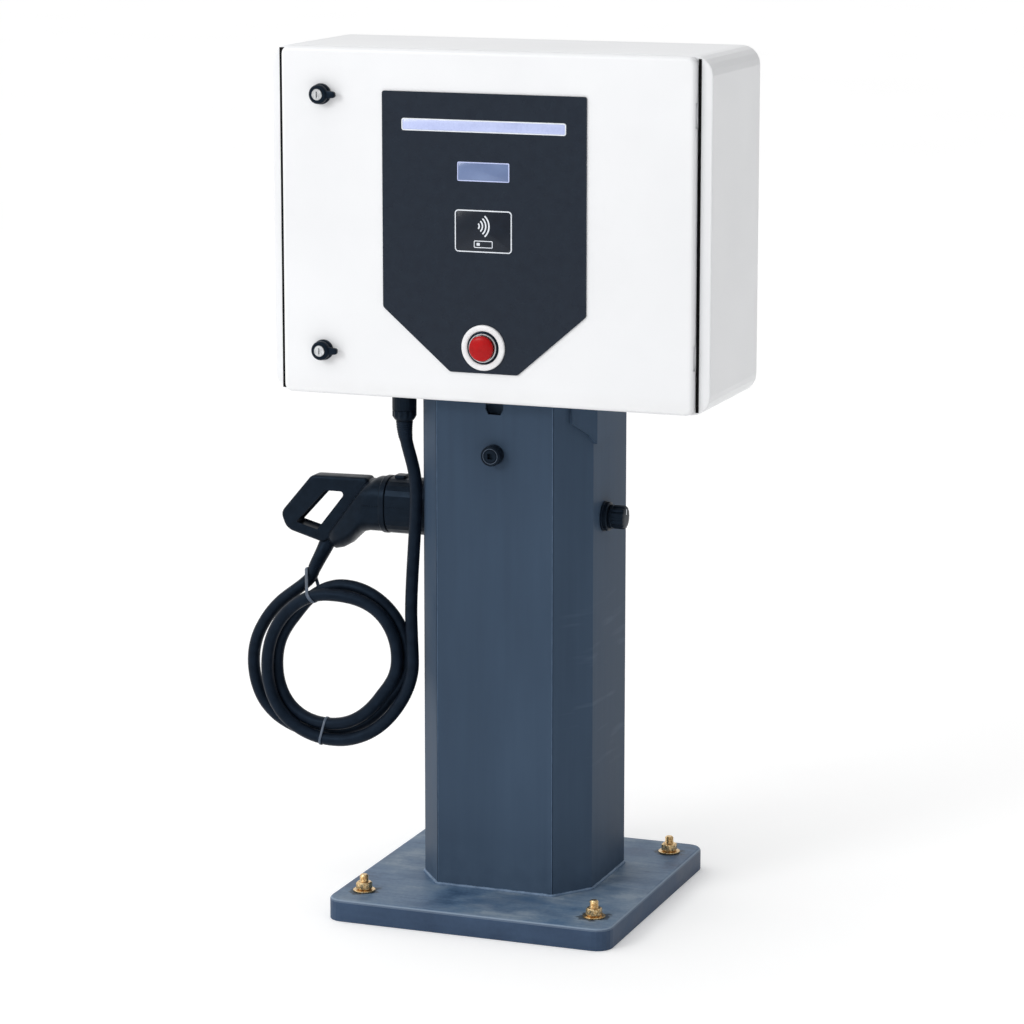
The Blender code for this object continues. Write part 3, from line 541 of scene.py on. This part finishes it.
def hose(path, radii, count=20, cyclic=False, mesh=None):
    """A skin round a path, its radius given per point or once, without twist."""
    if isinstance(radii, float):
        radii = [radii] * len(path)
    runs = []
    for k in range(len(path)):
        before = path[k - 1] if k or cyclic else path[k]
        after = path[(k + 1) % len(path)] if k + 1 < len(path) or cyclic else path[k]
        runs.append((after - before).normalized())
    side = runs[0].orthogonal().normalized()
    rings = []
    for spot, run, radius in zip(path, runs, radii):
        side = (side - run * side.dot(run)).normalized()
        up = run.cross(side)
        rings.append([spot + side * a + up * b for a, b in circle(radius, count)])
    return loft(rings, cyclic, mesh)


def middle_of(box, axis):
    """The middle of a box as seen along an axis."""
    low, high = box
    return tuple((low[k] + high[k]) / 2 for k in range(3) if "XYZ"[k] != axis)


# ---------------------------------------------------------------- charging cord

CORD_RADIUS = 0.0085
PLUG_HEIGHT = 0.530
PARTING_HEIGHT = 0.531
DROP = (
    (-0.1440, -0.0550, 0.6566), (-0.1440, -0.0550, 0.6500), (-0.1430, -0.0548, 0.6380),
    (-0.1405, -0.0544, 0.6250), (-0.1368, -0.0538, 0.6110), (-0.1332, -0.0531, 0.5970),
    (-0.1305, -0.0526, 0.5830), (-0.1291, -0.0522, 0.5680), (-0.1289, -0.0520, 0.5500),
    (-0.1297, -0.0520, 0.5280), (-0.1314, -0.0520, 0.5000), (-0.1334, -0.0520, 0.4700),
    (-0.1352, -0.0522, 0.4400), (-0.1363, -0.0527, 0.4120), (-0.1364, -0.0534, 0.3900),
    (-0.1350, -0.0548, 0.3600),
)
COIL_CENTRE = (-0.248, 0.317)
# Degrees clockwise from the right, radius and depth: the outer turn, the inner turn, the middle turn
COIL = (
    (0, 0.1145, -0.0565), (35, 0.1080, -0.0580), (90, 0.1100, -0.0600), (135, 0.1100, -0.0610),
    (180, 0.0985, -0.0610), (220, 0.0945, -0.0600), (250, 0.0945, -0.0595), (275, 0.0930, -0.0585),
    (315, 0.0985, -0.0575), (360, 0.0912, -0.0570), (395, 0.0800, -0.0565), (450, 0.0885, -0.0550),
    (495, 0.0995, -0.0475), (540, 0.0925, -0.0410), (580, 0.0860, -0.0405), (605, 0.0935, -0.0405),
    (632, 0.1032, -0.0410), (675, 0.1068, -0.0430), (720, 0.1022, -0.0440), (755, 0.0885, -0.0430),
    (810, 0.1012, -0.0415), (850, 0.1250, -0.0405), (870, 0.1330, -0.0400), (900, 0.1285, -0.0395),
    (925, 0.1190, -0.0385), (946, 0.1130, -0.0355),
)
COIL_STEP = 10
TAIL = (
    (-0.2965, -0.0270, 0.4240), (-0.2935, -0.0195, 0.4360), (-0.2905, -0.0110, 0.4470),
    (-0.2876, -0.0045, 0.4560), (-0.2846, -0.0010, 0.4640),
)


def coil_at(angle):
    """A point on the coil, between listed stations joined smoothly."""
    spots = list(COIL)
    k = max(i for i in range(len(spots) - 1) if spots[i][0] <= angle)
    (a0, *one), (a1, *other) = spots[k], spots[k + 1]
    before, after = spots[max(k - 1, 0)], spots[min(k + 2, len(spots) - 1)]
    t = (angle - a0) / (a1 - a0)
    values = []
    for j in (0, 1):
        slope0 = (other[j] - before[j + 1]) / (a1 - before[0]) * (a1 - a0)
        slope1 = (after[j + 1] - one[j]) / (after[0] - a0) * (a1 - a0)
        values.append((2 * t**3 - 3 * t**2 + 1) * one[j] + (t**3 - 2 * t**2 + t) * slope0
                      + (3 * t**2 - 2 * t**3) * other[j] + (t**3 - t**2) * slope1)
    radius, depth = values
    turn = math.radians(angle)
    return Vector((COIL_CENTRE[0] + radius * math.cos(turn), depth,
                   COIL_CENTRE[1] - radius * math.sin(turn)))


def cord_route():
    coil = [coil_at(angle) for angle in range(0, COIL[-1][0], COIL_STEP)]
    return spline([*DROP, *coil, *TAIL], 0.006)


def strap(name, finish, angle, lean, width, reach):
    """A tie round the strands of the coil that pass a station; its hull is eased round their centres."""
    turn = math.radians(angle)
    out = Vector((math.cos(turn), 0.0, -math.sin(turn)))
    run = Vector((-math.sin(turn), 0.0, -math.cos(turn)))
    centre = Vector((COIL_CENTRE[0], 0.0, COIL_CENTRE[1]))
    near, gap, thick, count = 0.0035, 0.0003, 0.0012, 56
    spots = []
    mean = sum(reach) / 2
    for spot in cord_route():
        off = spot - centre
        far = off.dot(out)
        if abs(off.dot(run) - lean * (far - mean)) < near and reach[0] < far < reach[1]:
            spots.append((far, spot.y))
    inner, outer = [], []
    for k in range(count):
        way = Vector((math.cos(TURN * k / count), math.sin(TURN * k / count)))
        far = max(spots, key=lambda s: s[0] * way.x + s[1] * way.y)
        inner.append(Vector(far) + way * (CORD_RADIUS + gap))
        outer.append(Vector(far) + way * (CORD_RADIUS + gap + thick))

    def edge(loop, shift):
        return [centre + out * p.x + Vector((0, p.y, 0)) + run * (shift + lean * (p.x - mean)) for p in loop]

    rings = [edge(inner, -width / 2), edge(outer, -width / 2), edge(outer, width / 2),
             edge(inner, width / 2)]
    return piece(name, loft(rings, cyclic=True), finish, "connector", subdivide=1)


def sleeve(path, start, end, rib):
    """Radii for a ribbed, tapering strain relief along a path."""
    radii = []
    count = len(path) - 1
    for k in range(count + 1):
        radii.append(start + (end - start) * k / count + (rib if k % 2 and k < count - 1 else 0.0))
    return radii


def along_path(path, length, step):
    """The first part of a path, at even steps."""
    made, left = [path[0]], step
    for a, b in zip(path, path[1:]):
        run = (b - a).length
        while left <= run and len(made) * step <= length + 1e-6:
            made.append(a + (b - a) * (left / run))
            left += step
        left -= run
    return made


def grip_loop(mesh):
    """The open handle: a flat bar with eased rims round a slanting window."""
    outer = filleted([(-0.2122, 0.5664), (-0.3000, 0.5648), (-0.3468, 0.5095), (-0.3386, 0.4870),
                      (-0.2836, 0.4712), (-0.2460, 0.4950)],
                     (0.006, 0.014, 0.013, 0.020, 0.008, 0.010), 8)
    window = filleted([(-0.2402, 0.5486), (-0.2813, 0.5484), (-0.3294, 0.4962), (-0.2899, 0.4855)],
                      (0.008, 0.009, 0.004, 0.003), 8)
    centre = (-0.2855, 0.5180)
    rim = pillow(rays(outer, centre, 240), -0.0138, 0.0138, 0.0044)
    hole = pillow(rays(window, centre, 240), -0.0138, 0.0138, 0.0036, side=-1)
    stack(rim + hole[::-1], "Y", cyclic=True, mesh=mesh)


def plug_body(mesh):
    """The closed body: sections fan round from the barrel to the slanting shoulder over the grip."""
    stations = [
        ((-0.1900, 0.5674), (-0.1900, 0.4926), 0.0310), ((-0.1972, 0.5674), (-0.2141, 0.4926), 0.0310),
        ((-0.2006, 0.5672), (-0.2252, 0.4900), 0.0309), ((-0.2027, 0.5669), (-0.2339, 0.4822), 0.0307),
        ((-0.2045, 0.5664), (-0.2440, 0.4722), 0.0304), ((-0.2058, 0.5658), (-0.2556, 0.4656), 0.0300),
        ((-0.2068, 0.5652), (-0.2672, 0.4630), 0.0296), ((-0.2076, 0.5646), (-0.2749, 0.4668), 0.0292),
        ((-0.2083, 0.5638), (-0.2780, 0.4728), 0.0286), ((-0.2095, 0.5634), (-0.2790, 0.4742), 0.0276),
        ((-0.2132, 0.5640), (-0.2823, 0.4778), 0.0170), ((-0.2151, 0.5640), (-0.2832, 0.4800), 0.0128),
    ]
    low, high = Vector((-0.281, 0.470)), Vector((-0.234, 0.518))
    rings = []
    for top, foot, half in stations:
        middle, run = (Vector(top) + Vector(foot)) / 2, Vector(top) - Vector(foot)
        section = []
        for across, along in rounded(2 * half, run.length, min(0.0275, half * 0.92), 12):
            spot = middle + run.normalized() * along
            share = max(0.0, min(1.0, (spot - low).dot(high - low) / (high - low).length_squared))
            section.append(Vector((spot.x, across * (0.66 + 0.34 * share * share * (3 - 2 * share)),
                                   spot.y)))
        rings.append(section)
    loft(rings, mesh=mesh)


def parting_line(start, end, wide, near, far):
    """The moulding's raised seam, on both sides of the plug or its socket."""
    seam = bmesh.new()
    top, foot = PARTING_HEIGHT + wide / 2, PARTING_HEIGHT - wide / 2
    strip = [(start, top), (end, top), (end, foot), (start, foot)]
    for side in (-1, 1):
        slab(strip, *sorted((side * near, side * far)), "Y", mesh=seam)
    return seam


def connector_handle(finishes):
    """The plug's moulded body with its open grip, flange, parting line and cable boot."""
    black = finishes["black_plastic"]
    body = bmesh.new()
    plug_body(body)
    grip_loop(body)
    moulding = piece("connector_moulding", body, black, "connector", ("connector_shell",), 32)
    collar = stack(
        [
            (rounded(0.0560, 0.0690, 0.026), -0.1853), (rounded(0.0640, 0.0770, 0.029), -0.1853),
            (rounded(0.0656, 0.0786, 0.030), -0.1862), (rounded(0.0656, 0.0786, 0.030), -0.1925),
            (rounded(0.0646, 0.0776, 0.030), -0.1934), (rounded(0.0600, 0.0730, 0.0275), -0.1940),
            (rounded(0.0560, 0.0690, 0.026), -0.1940),
        ],
        "X", (0.0, PLUG_HEIGHT), cyclic=True,
    )
    seam = parting_line(-0.2170, -0.1946, 0.0008, 0.0300, 0.0316)
    route = cord_route()
    way = (route[-1] - route[-2]).normalized()
    boot_path = [*route[-7:], route[-1] + way * 0.006, route[-1] + way * 0.012]
    boot = hose(boot_path, sleeve(boot_path, 0.0090, 0.0112, 0.0), 32)
    return [
        moulding,
        piece("connector_collar", collar, black, "connector", angle=30),
        piece("connector_parting_line", seam, black, "connector"),
        piece("cable_boot_sleeve", boot, finishes["cable_rubber"], "connector", ("cable_boot",), 25),
    ]


def charging_cord(finishes):
    rubber = finishes["cable_rubber"]
    route = cord_route()
    cord = piece("charging_cord", hose(route, CORD_RADIUS, 24), rubber, None, angle=60, ride=False)
    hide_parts("cable_drop", "cable_coil", "cable_tail")
    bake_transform(cord)
    handle = connector_handle(finishes)
    ties = [
        strap("cable_tie_top", finishes["strap"], 249, -0.24, 0.0056, (0.068, 0.130)),
        strap("cable_tie_bottom", finishes["strap"], 99.5, 0.0, 0.0040, (0.070, 0.135)),
    ]
    centre = middle_of(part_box("gland_nut"), "Z")
    nut = [(0.0150, 0.6720), (0.0158, 0.6712, 12, 0.0006), (0.0158, 0.6640, 12, 0.0006), (0.0146, 0.6612),
           (0.0128, 0.6588), (0.0112, 0.6572)]
    piece("gland_cap_nut", turned(nut, "Z", centre, count=96), finishes["black_plastic"], "post",
          ("gland_nut",))
    relief = along_path(route, 0.026, 0.0016)
    piece("gland_strain_relief", hose(relief, sleeve(relief, 0.0112, 0.0088, 0.0005), 28), rubber, "post",
          angle=25)


# ---------------------------------------------------------------- holster and isolator

def holster_details(finishes):
    black = finishes["black_plastic"]
    low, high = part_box("holster_socket")
    tab = stack(pillow(rounded(0.016, 0.018, 0.003), high.z - 0.002, high.z + 0.0035, 0.0012, 3), "Z",
                (low.x + 0.014, 0.0))
    piece("holster_release_tab", tab, black, "post")
    seam = parting_line(low.x + 0.003, high.x - 0.004, 0.0010, 0.0310, 0.0324)
    piece("holster_parting_line", seam, black, "post")
    flange = stack([(rounded(0.076, 0.089, 0.034), high.x), (rounded(0.076, 0.089, 0.034), high.x - 0.0022),
                    (rounded(0.073, 0.086, 0.033), high.x - 0.0032),
                    (rounded(0.066, 0.079, 0.030), high.x - 0.0032),
                    (rounded(0.066, 0.079, 0.030), high.x)], "X", (0.0, PLUG_HEIGHT), cyclic=True)
    piece("holster_flange", flange, black, "post")


def isolator(finishes):
    low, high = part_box("isolator_knob")
    centre = middle_of((low, high), "X")
    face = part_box("isolator_base")[1].x
    knob = [
        (0.0040, 0.1120), (0.0040, face + 0.0003), (0.0156, face + 0.0003), (0.0162, face + 0.0012),
        (0.0162, face + 0.0040), (0.0150, face + 0.0048, 14, 0.0007), (0.0152, high.x - 0.0030, 14, 0.0007),
        (0.0146, high.x - 0.0010, 14, 0.0004), (0.0125, high.x - 0.0002), (0.0060, high.x),
    ]
    piece("isolator_grip_knob", turned(knob, "X", centre, count=112), finishes["black_plastic"],
          "isolator_handle", ("isolator_knob",))
    line = rounded(0.0016, 0.0080, 0.0007, 3)
    mark = slab(line, high.x - 0.0004, high.x + 0.0002, "X", (centre[0], centre[1] + 0.0075))
    piece("isolator_pointer", mark, finishes["print"], "isolator_handle")
    skirt = [(0.0195, 0.1213), (0.0205, 0.1213), (0.0205, 0.1230), (0.0198, 0.1238), (0.0195, 0.1238)]
    piece("isolator_seal", turned(skirt, "X", centre, True, 64), finishes["cable_rubber"], "post")


# ---------------------------------------------------------------- locks

def slotted(radius, width, height, face, depth, axis, centre, rear, mesh=None):
    """A turned face with a straight-sided recess in it."""
    sections = [
        (circle(radius), rear),
        (circle(radius), face + 0.0006),
        (circle(radius - 0.0005), face),
        (polygon(width, height), face),
        (polygon(width * 0.96, height * 0.94), face + depth),
    ]
    return stack(sections, axis, centre, mesh=mesh)


def door_locks(finishes):
    """Quarter-turn locks: black rosette, turning wing and a bright barrel with a key slot."""
    black, bright = finishes["black_plastic"], finishes["bright_steel"]
    for label in ("upper", "lower"):
        low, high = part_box(f"lock_housing_{label}")
        centre = middle_of((low, high), "Y")
        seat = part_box("door_panel")[0].y - 0.0003
        rosette = [(0.0063, -0.1379), (0.0112, -0.1380), (0.0118, -0.1376), (0.0121, -0.1379),
                   (0.0128, -0.1378), (0.0136, -0.1366), (0.0138, -0.1340), (0.0136, seat),
                   (0.0110, seat), (0.0110, -0.1190), (0.0063, -0.1190)]
        piece(f"lock_rosette_{label}", turned(rosette, "Y", centre, True, 64), black, "door",
              (f"lock_housing_{label}",))
        body = f"{label}_lock"
        hub = [(0.0078, -0.1472), (0.0104, -0.1473), (0.0116, -0.1466), (0.0125, -0.1452), (0.0127, -0.1420),
               (0.0124, -0.1390), (0.0116, -0.1383), (0.0078, -0.1383)]
        wing = turned(hub, "Y", centre, True, 64)
        tab = filleted([(0.009, 0.0052), (0.0235, 0.0040), (0.0235, -0.0040), (0.009, -0.0052)],
                       (0, 0.0032, 0.0032, 0), 5)
        stack(pillow(tab, -0.1452, -0.1393, 0.0011, 3), "Y", centre, mesh=wing)
        piece(f"lock_turn_wing_{label}", wing, black, body, (f"lock_wing_{label}",), 30)
        barrel = slotted(0.0074, 0.0018, 0.0086, -0.1488, 0.0040, "Y", centre, -0.1383)
        turned([(0.0060, -0.1383), (0.0060, -0.1110)], "Y", centre, mesh=barrel)
        cam, lift = rounded(0.012, 0.0510, 0.002), -0.0195 if label == "upper" else 0.0195
        slab(cam, -0.1142, -0.1112, "Y", (centre[0], centre[1] + lift), barrel)
        piece(f"lock_key_barrel_{label}", barrel, bright, body, (f"lock_core_{label}",), 30)


def column_lock(finishes):
    low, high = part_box("column_lock_body")
    centre = middle_of((low, high), "Y")
    face, rear = low.y, high.y
    sleeve_profile = [(0.0093, face + 0.0006), (0.0099, face), (0.0112, face), (0.0118, face + 0.0005),
                      (0.0124, face + 0.0002), (0.0134, face + 0.0012), (0.0138, face + 0.0040),
                      (0.0136, -0.0953), (0.0107, -0.0953), (0.0107, rear), (0.0093, rear)]
    piece("column_lock_sleeve", turned(sleeve_profile, "Y", centre, True, 64), finishes["black_plastic"],
          "front_panel", ("column_lock_body",), 30)
    core = slotted(0.0089, 0.0074, 0.0074, face - 0.0003, 0.0050, "Y", centre, -0.0785)
    turned([(0.0050, -0.0785), (0.0050, -0.0665)], "Y", centre, mesh=core)
    cam = rounded(0.069, 0.016, 0.002)
    slab(cam, -0.0707, -0.0677, "Y", (centre[0] + 0.0275, centre[1]), core)
    piece("column_lock_barrel", core, finishes["black_plastic"], "column_lock", ("column_lock_core",), 30)
    # The lighter ring round the lock face is a painted highlight.
    trim = [(0.0094, face + 0.0004), (0.0097, face - 0.0003), (0.0103, face - 0.0003),
            (0.0106, face + 0.0004)]
    piece("column_lock_trim", turned(trim, "Y", centre, True, 64), finishes["strap"], "front_panel",
          angle=30)


# ---------------------------------------------------------------- door edges

def door_edges(finishes):
    """Dark strips on the body's flange beside the door, a painted shadow for the gap between them, and white
    caps over the hinge notches.
    """
    low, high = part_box("door_panel")
    flange_face = -0.118
    # Near-black strips on the flange face stand for the shadowed gap beside the door edges: painted shadow.
    for side, inside, wide, label in ((-1, low.x, 0.0075, "left"), (1, high.x, 0.0040, "right")):
        strip = rounded(wide, 0.0016, 0.0005, 3)
        x = inside + side * wide / 2
        seal = slab(strip, low.z + 0.003, high.z - 0.003, "Z", (x, flange_face - 0.0003))
        piece(f"door_gap_painted_shadow_{label}", seal, finishes["gasket_foam"], "post")
    for label in ("upper", "lower"):
        pin_low, pin_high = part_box(f"hinge_pin_{label}")
        middle = (pin_low.z + pin_high.z) / 2
        cap = bmesh.new()
        for side in (-1, 1):
            outline = [(-0.1284, side * 0.0165), (-0.1284, side * 0.0268), (-0.1212, side * 0.0268),
                       (-0.1212, side * 0.0165)]
            slab(outline, high.x - 0.0006, high.x - 0.0001, "X", (0.0, middle), cap)
        piece(f"hinge_notch_cap_{label}", cap, finishes["white_coat"], "door")


# ---------------------------------------------------------------- control panel

def light_bar(finishes):
    low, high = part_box("light_bar")
    centre = middle_of((low, high), "Y")
    shape = rounded(high.x - low.x, high.z - low.z, 0.0032)
    trim = stack(band(shape, 0.0013, high.y, low.y), "Y", centre, cyclic=True)
    piece("light_bar_trim", trim, finishes["print"], "door", angle=30)
    lens = pillow(shrunk(shape, 0.0015), low.y + 0.0002, high.y, 0.0004, 2)
    piece("light_bar_lens", stack(lens, "Y", centre), finishes["lamp_lens"], "door", ("light_bar",))


def display(finishes):
    low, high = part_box("display_window")
    centre = middle_of((low, high), "Y")
    shape = rounded(high.x - low.x, high.z - low.z, 0.0020)
    trim = stack(band(shape, 0.0011, high.y, low.y - 0.0001), "Y", centre, cyclic=True)
    piece("display_trim", trim, finishes["lamp_lens"], "door", angle=30)
    glass = pillow(shrunk(shape, 0.0013), low.y + 0.0002, high.y, 0.0003, 2)
    piece("display_pane", stack(glass, "Y", centre), finishes["display_glass"], "door", ("display_window",))


def arc_mark(mesh, centre, radius, start, end, width, face):
    """A flat arc, its ends square, standing a hair proud of the face."""
    rings = []
    steps = max(6, round(abs(end - start) / 6))
    for k in range(steps + 1):
        turn = math.radians(start + (end - start) * k / steps)
        way = Vector((math.cos(turn), 0.0, math.sin(turn)))
        base = Vector((centre[0], 0.0, centre[1]))
        low, high = base + way * (radius - width / 2), base + way * (radius + width / 2)
        rings.append([low + Vector((0, face, 0)), high + Vector((0, face, 0)),
                      high + Vector((0, face - 0.0002, 0)), low + Vector((0, face - 0.0002, 0))])
    loft(rings, mesh=mesh)


def card_reader(finishes):
    """A dark window with a light frame, the plain waves of contactless reading and a blank card."""
    low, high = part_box("card_reader")
    x, z = middle_of((low, high), "Y")
    shape = rounded(high.x - low.x, high.z - low.z, 0.0050)
    window = pillow(shrunk(shape, 0.0002), low.y + 0.0002, high.y, 0.0003, 2)
    piece("reader_window", stack(window, "Y", (x, z)), finishes["reader_face"], "door", ("card_reader",))
    trim = stack(band(shape, 0.0012, high.y, low.y), "Y", (x, z), cyclic=True)
    piece("reader_trim", trim, finishes["print"], "door", angle=30)
    face = low.y + 0.0003
    waves = bmesh.new()
    for radius in (0.0045, 0.0090, 0.0135, 0.0180):
        arc_mark(waves, (x - 0.0100, z + 0.0068), radius, -48, 48, 0.0019, face)
    card = rounded(0.026, 0.0095, 0.0016, 4)
    stack(band(card, 0.0010, face, face - 0.0002, 0.00005), "Y", (x, z - 0.0168), cyclic=True, mesh=waves)
    chip = rounded(0.0045, 0.0036, 0.0006, 3)
    slab(chip, face, face - 0.0002, "Y", (x - 0.0070, z - 0.0168), waves)
    piece("reader_waves", waves, finishes["print"], "door")


def emergency_stop(finishes):
    low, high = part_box("estop_ring")
    centre = middle_of((low, high), "Y")
    seat = high.y
    ring_profile = [(0.0300, seat), (0.0300, seat - 0.0017), (0.0295, seat - 0.0027),
                    (0.0286, seat - 0.0033), (0.0234, seat - 0.0033), (0.0224, seat - 0.0028),
                    (0.0219, seat - 0.0018), (0.0219, seat)]
    piece("estop_white_ring", turned(ring_profile, "Y", centre, True, 96), finishes["white_plastic"], "door",
          ("estop_ring",), 40)
    seal = [(0.0218, seat), (0.0218, seat - 0.0012), (0.0194, seat - 0.0020), (0.0194, seat)]
    piece("estop_black_seal", turned(seal, "Y", centre, True, 96), finishes["black_plastic"], "door")
    collar = [(0.0193, seat), (0.0193, seat - 0.0030), (0.0190, seat - 0.0046), (0.0184, seat - 0.0054),
              (0.0178, seat - 0.0054), (0.0173, seat - 0.0048), (0.0172, seat - 0.0027),
              (0.0063, seat - 0.0027), (0.0063, -0.1100), (0.0110, -0.1100), (0.0110, seat)]
    piece("estop_bezel", turned(collar, "Y", centre, True, 96), finishes["bright_steel"], "door",
          ("estop_collar",), 40)
    head = [(0.0060, -0.1130), (0.0060, -0.1412), (0.0158, -0.1412), (0.0165, -0.1417), (0.0167, -0.1428),
            (0.0165, -0.1440), (0.0157, -0.1450), (0.0142, -0.1458), (0.0118, -0.1464), (0.0085, -0.1468),
            (0.0045, -0.1470), (0.0020, -0.1470)]
    piece("estop_button_head", turned(head, "Y", centre, count=96), finishes["stop_red"], "estop_button",
          ("estop_head",), 50)


# ---------------------------------------------------------------- column, foot and anchors

def panel_seams(finishes):
    """Lighter strips down both side edges of the front panel: painted highlights where the folded edges
    catch the light.
    """
    low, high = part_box("column_front_panel")
    for side, label in ((-1, "left"), (1, "right")):
        x = side * (high.x - 0.0007)
        edge = rounded(0.0011, 0.0007, 0.0003, 3)
        strip = slab(edge, low.z + 0.0005, high.z - 0.0005, "Z", (x, low.y))
        piece(f"panel_edge_highlight_{label}", strip, finishes["seam_painted_highlight"], "front_panel")


def foot_weld(finishes):
    """The rippled weld bead round the foot of the column."""
    low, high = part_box("column_shell")
    front, chamfer_x, chamfer_y = low.y, 0.083, -0.045
    corners = [(chamfer_x, front), (high.x, chamfer_y), (high.x, high.y), (low.x, high.y),
               (low.x, chamfer_y), (-chamfer_x, front)]
    outline = filleted(corners, (0.004, 0.006, 0.006, 0.006, 0.006, 0.004), 4)
    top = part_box("base_plate")[1].z
    path = [Vector((x, y, top + 0.0006)) for x, y in outline]
    dense = []
    for a, b in zip(path, path[1:] + path[:1]):
        count = max(1, round((b - a).length / 0.0016))
        dense += [a + (b - a) * k / count for k in range(count)]
    ripple = [math.sin(k * TURN / 4) + math.sin(k * 0.37) for k in range(len(dense))]
    radii = [0.0024 + 0.0002 * rise for rise in ripple]
    # The bead's lighter colour than the coat is a painted highlight.
    piece("column_foot_weld", hose(dense, radii, 10, cyclic=True), finishes["weld_painted_highlight"], "post", angle=60)


def anchors(finishes):
    """Threaded stud, chamfered nut and washers at each corner of the base."""
    brass = finishes["yellow_zinc"]
    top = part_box("base_plate")[1].z
    for number in range(1, 5):
        low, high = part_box(f"anchor_stud_{number}")
        centre = middle_of((low, high), "Z")
        stud = [(0.0060, low.z + 0.001)]
        pitch = 0.0018
        z = top
        while z < high.z - 0.0030:
            stud += [(0.0052, z), (0.0060, z + pitch * 0.5)]
            z += pitch
        stud += [(0.0052, z), (0.0050, high.z - 0.0008), (0.0042, high.z)]
        piece(f"anchor_thread_{number}", turned(stud, "Z", centre, count=24), brass, "post",
              (f"anchor_stud_{number}",), 30)
        seat = top + 0.0003
        washer = [(0.0064, seat), (0.0146, seat), (0.0150, seat + 0.0004), (0.0150, seat + 0.0016),
                  (0.0146, seat + 0.0020), (0.0064, seat + 0.0020)]
        mesh = turned(washer, "Z", centre, True, 48)
        flat = 0.019
        nut = [(circle(0.0088), seat + 0.0021), (polygon(flat, flat, sides=6), seat + 0.0031),
               (polygon(flat, flat, sides=6), seat + 0.0112), (circle(0.0090), seat + 0.0124),
               (circle(0.0068), seat + 0.0124), (circle(0.0061), seat + 0.0116),
               (circle(0.0061), seat + 0.0021)]
        stack(nut, "Z", centre, True, mesh)
        piece(f"anchor_hex_{number}", mesh, brass, "post", (f"anchor_nut_{number}",), 25)


# ---------------------------------------------------------------- light and floor

def lamp(name, spot, target, size, power):
    data = bpy.data.lights.new(name, "AREA")
    data.shape = "DISK"
    data.size = size
    data.energy = power
    light = bpy.data.objects.new(name, data)
    light.location = spot
    light.rotation_euler = (Vector(target) - Vector(spot)).to_track_quat("-Z", "Y").to_euler()
    bpy.context.scene.collection.objects.link(light)


def studio():
    """A bright room, dimmer towards the right, with one soft lamp at the front left and a white floor."""
    world = bpy.data.worlds.new("studio")
    world.use_nodes = True
    tree = world.node_tree
    way = add_node(tree, "ShaderNodeTexCoord").outputs["Generated"]
    split = add_node(tree, "ShaderNodeSeparateXYZ", {"Vector": way}).outputs
    fade = add_node(tree, "ShaderNodeMapRange",
                    {"Value": split["X"], "From Min": -0.9, "From Max": 0.9, "To Min": 1.20,
                     "To Max": 0.44}, interpolation_type="SMOOTHSTEP").outputs["Result"]
    lift = add_node(tree, "ShaderNodeMapRange",
                    {"Value": split["Z"], "To Min": 0.72, "To Max": 1.30}).outputs["Result"]
    both = add_node(tree, "ShaderNodeMath", {0: fade, 1: lift}, operation="MULTIPLY")
    tree.links.new(both.outputs["Value"], tree.nodes["Background"].inputs["Strength"])
    tree.nodes["Background"].inputs["Color"].default_value = (1.0, 1.0, 1.0, 1.0)
    bpy.context.scene.world = world
    lamp("key", (-2.2, -3.8, 2.6), (0, 0, 0.6), 1.6, 55)
    mesh = bmesh.new()
    bmesh.ops.create_circle(mesh, cap_ends=True, radius=30.0, segments=96)
    data = bpy.data.meshes.new("studio_floor")
    mesh.to_mesh(data)
    mesh.free()
    floor = bpy.data.objects.new("studio_floor", data)
    floor.location.z = -0.0005
    bpy.context.scene.collection.objects.link(floor)
    paper = Finish("studio_paper", Specular_IOR_Level=0.1)
    shade = paper.shades(paper.noise(0.8, 3.0), (0.3, (0.93, 0.93, 0.93, 1)), (0.7, (0.95, 0.95, 0.95, 1)))
    paper.colour(shade)
    paper.glow(shade, 0.16)
    paper.roughness(paper.span(paper.noise(0.3), 0.3, 0.7, 0.85, 0.95))
    data.materials.append(paper.material)
    bpy.context.scene.view_settings.view_transform = "Standard"


def build():
    camera()
    finishes = build_finishes()
    dress_cad(finishes)
    charging_cord(finishes)
    holster_details(finishes)
    isolator(finishes)
    door_locks(finishes)
    column_lock(finishes)
    door_edges(finishes)
    light_bar(finishes)
    display(finishes)
    card_reader(finishes)
    emergency_stop(finishes)
    panel_seams(finishes)
    foot_weld(finishes)
    anchors(finishes)
    studio()


build()
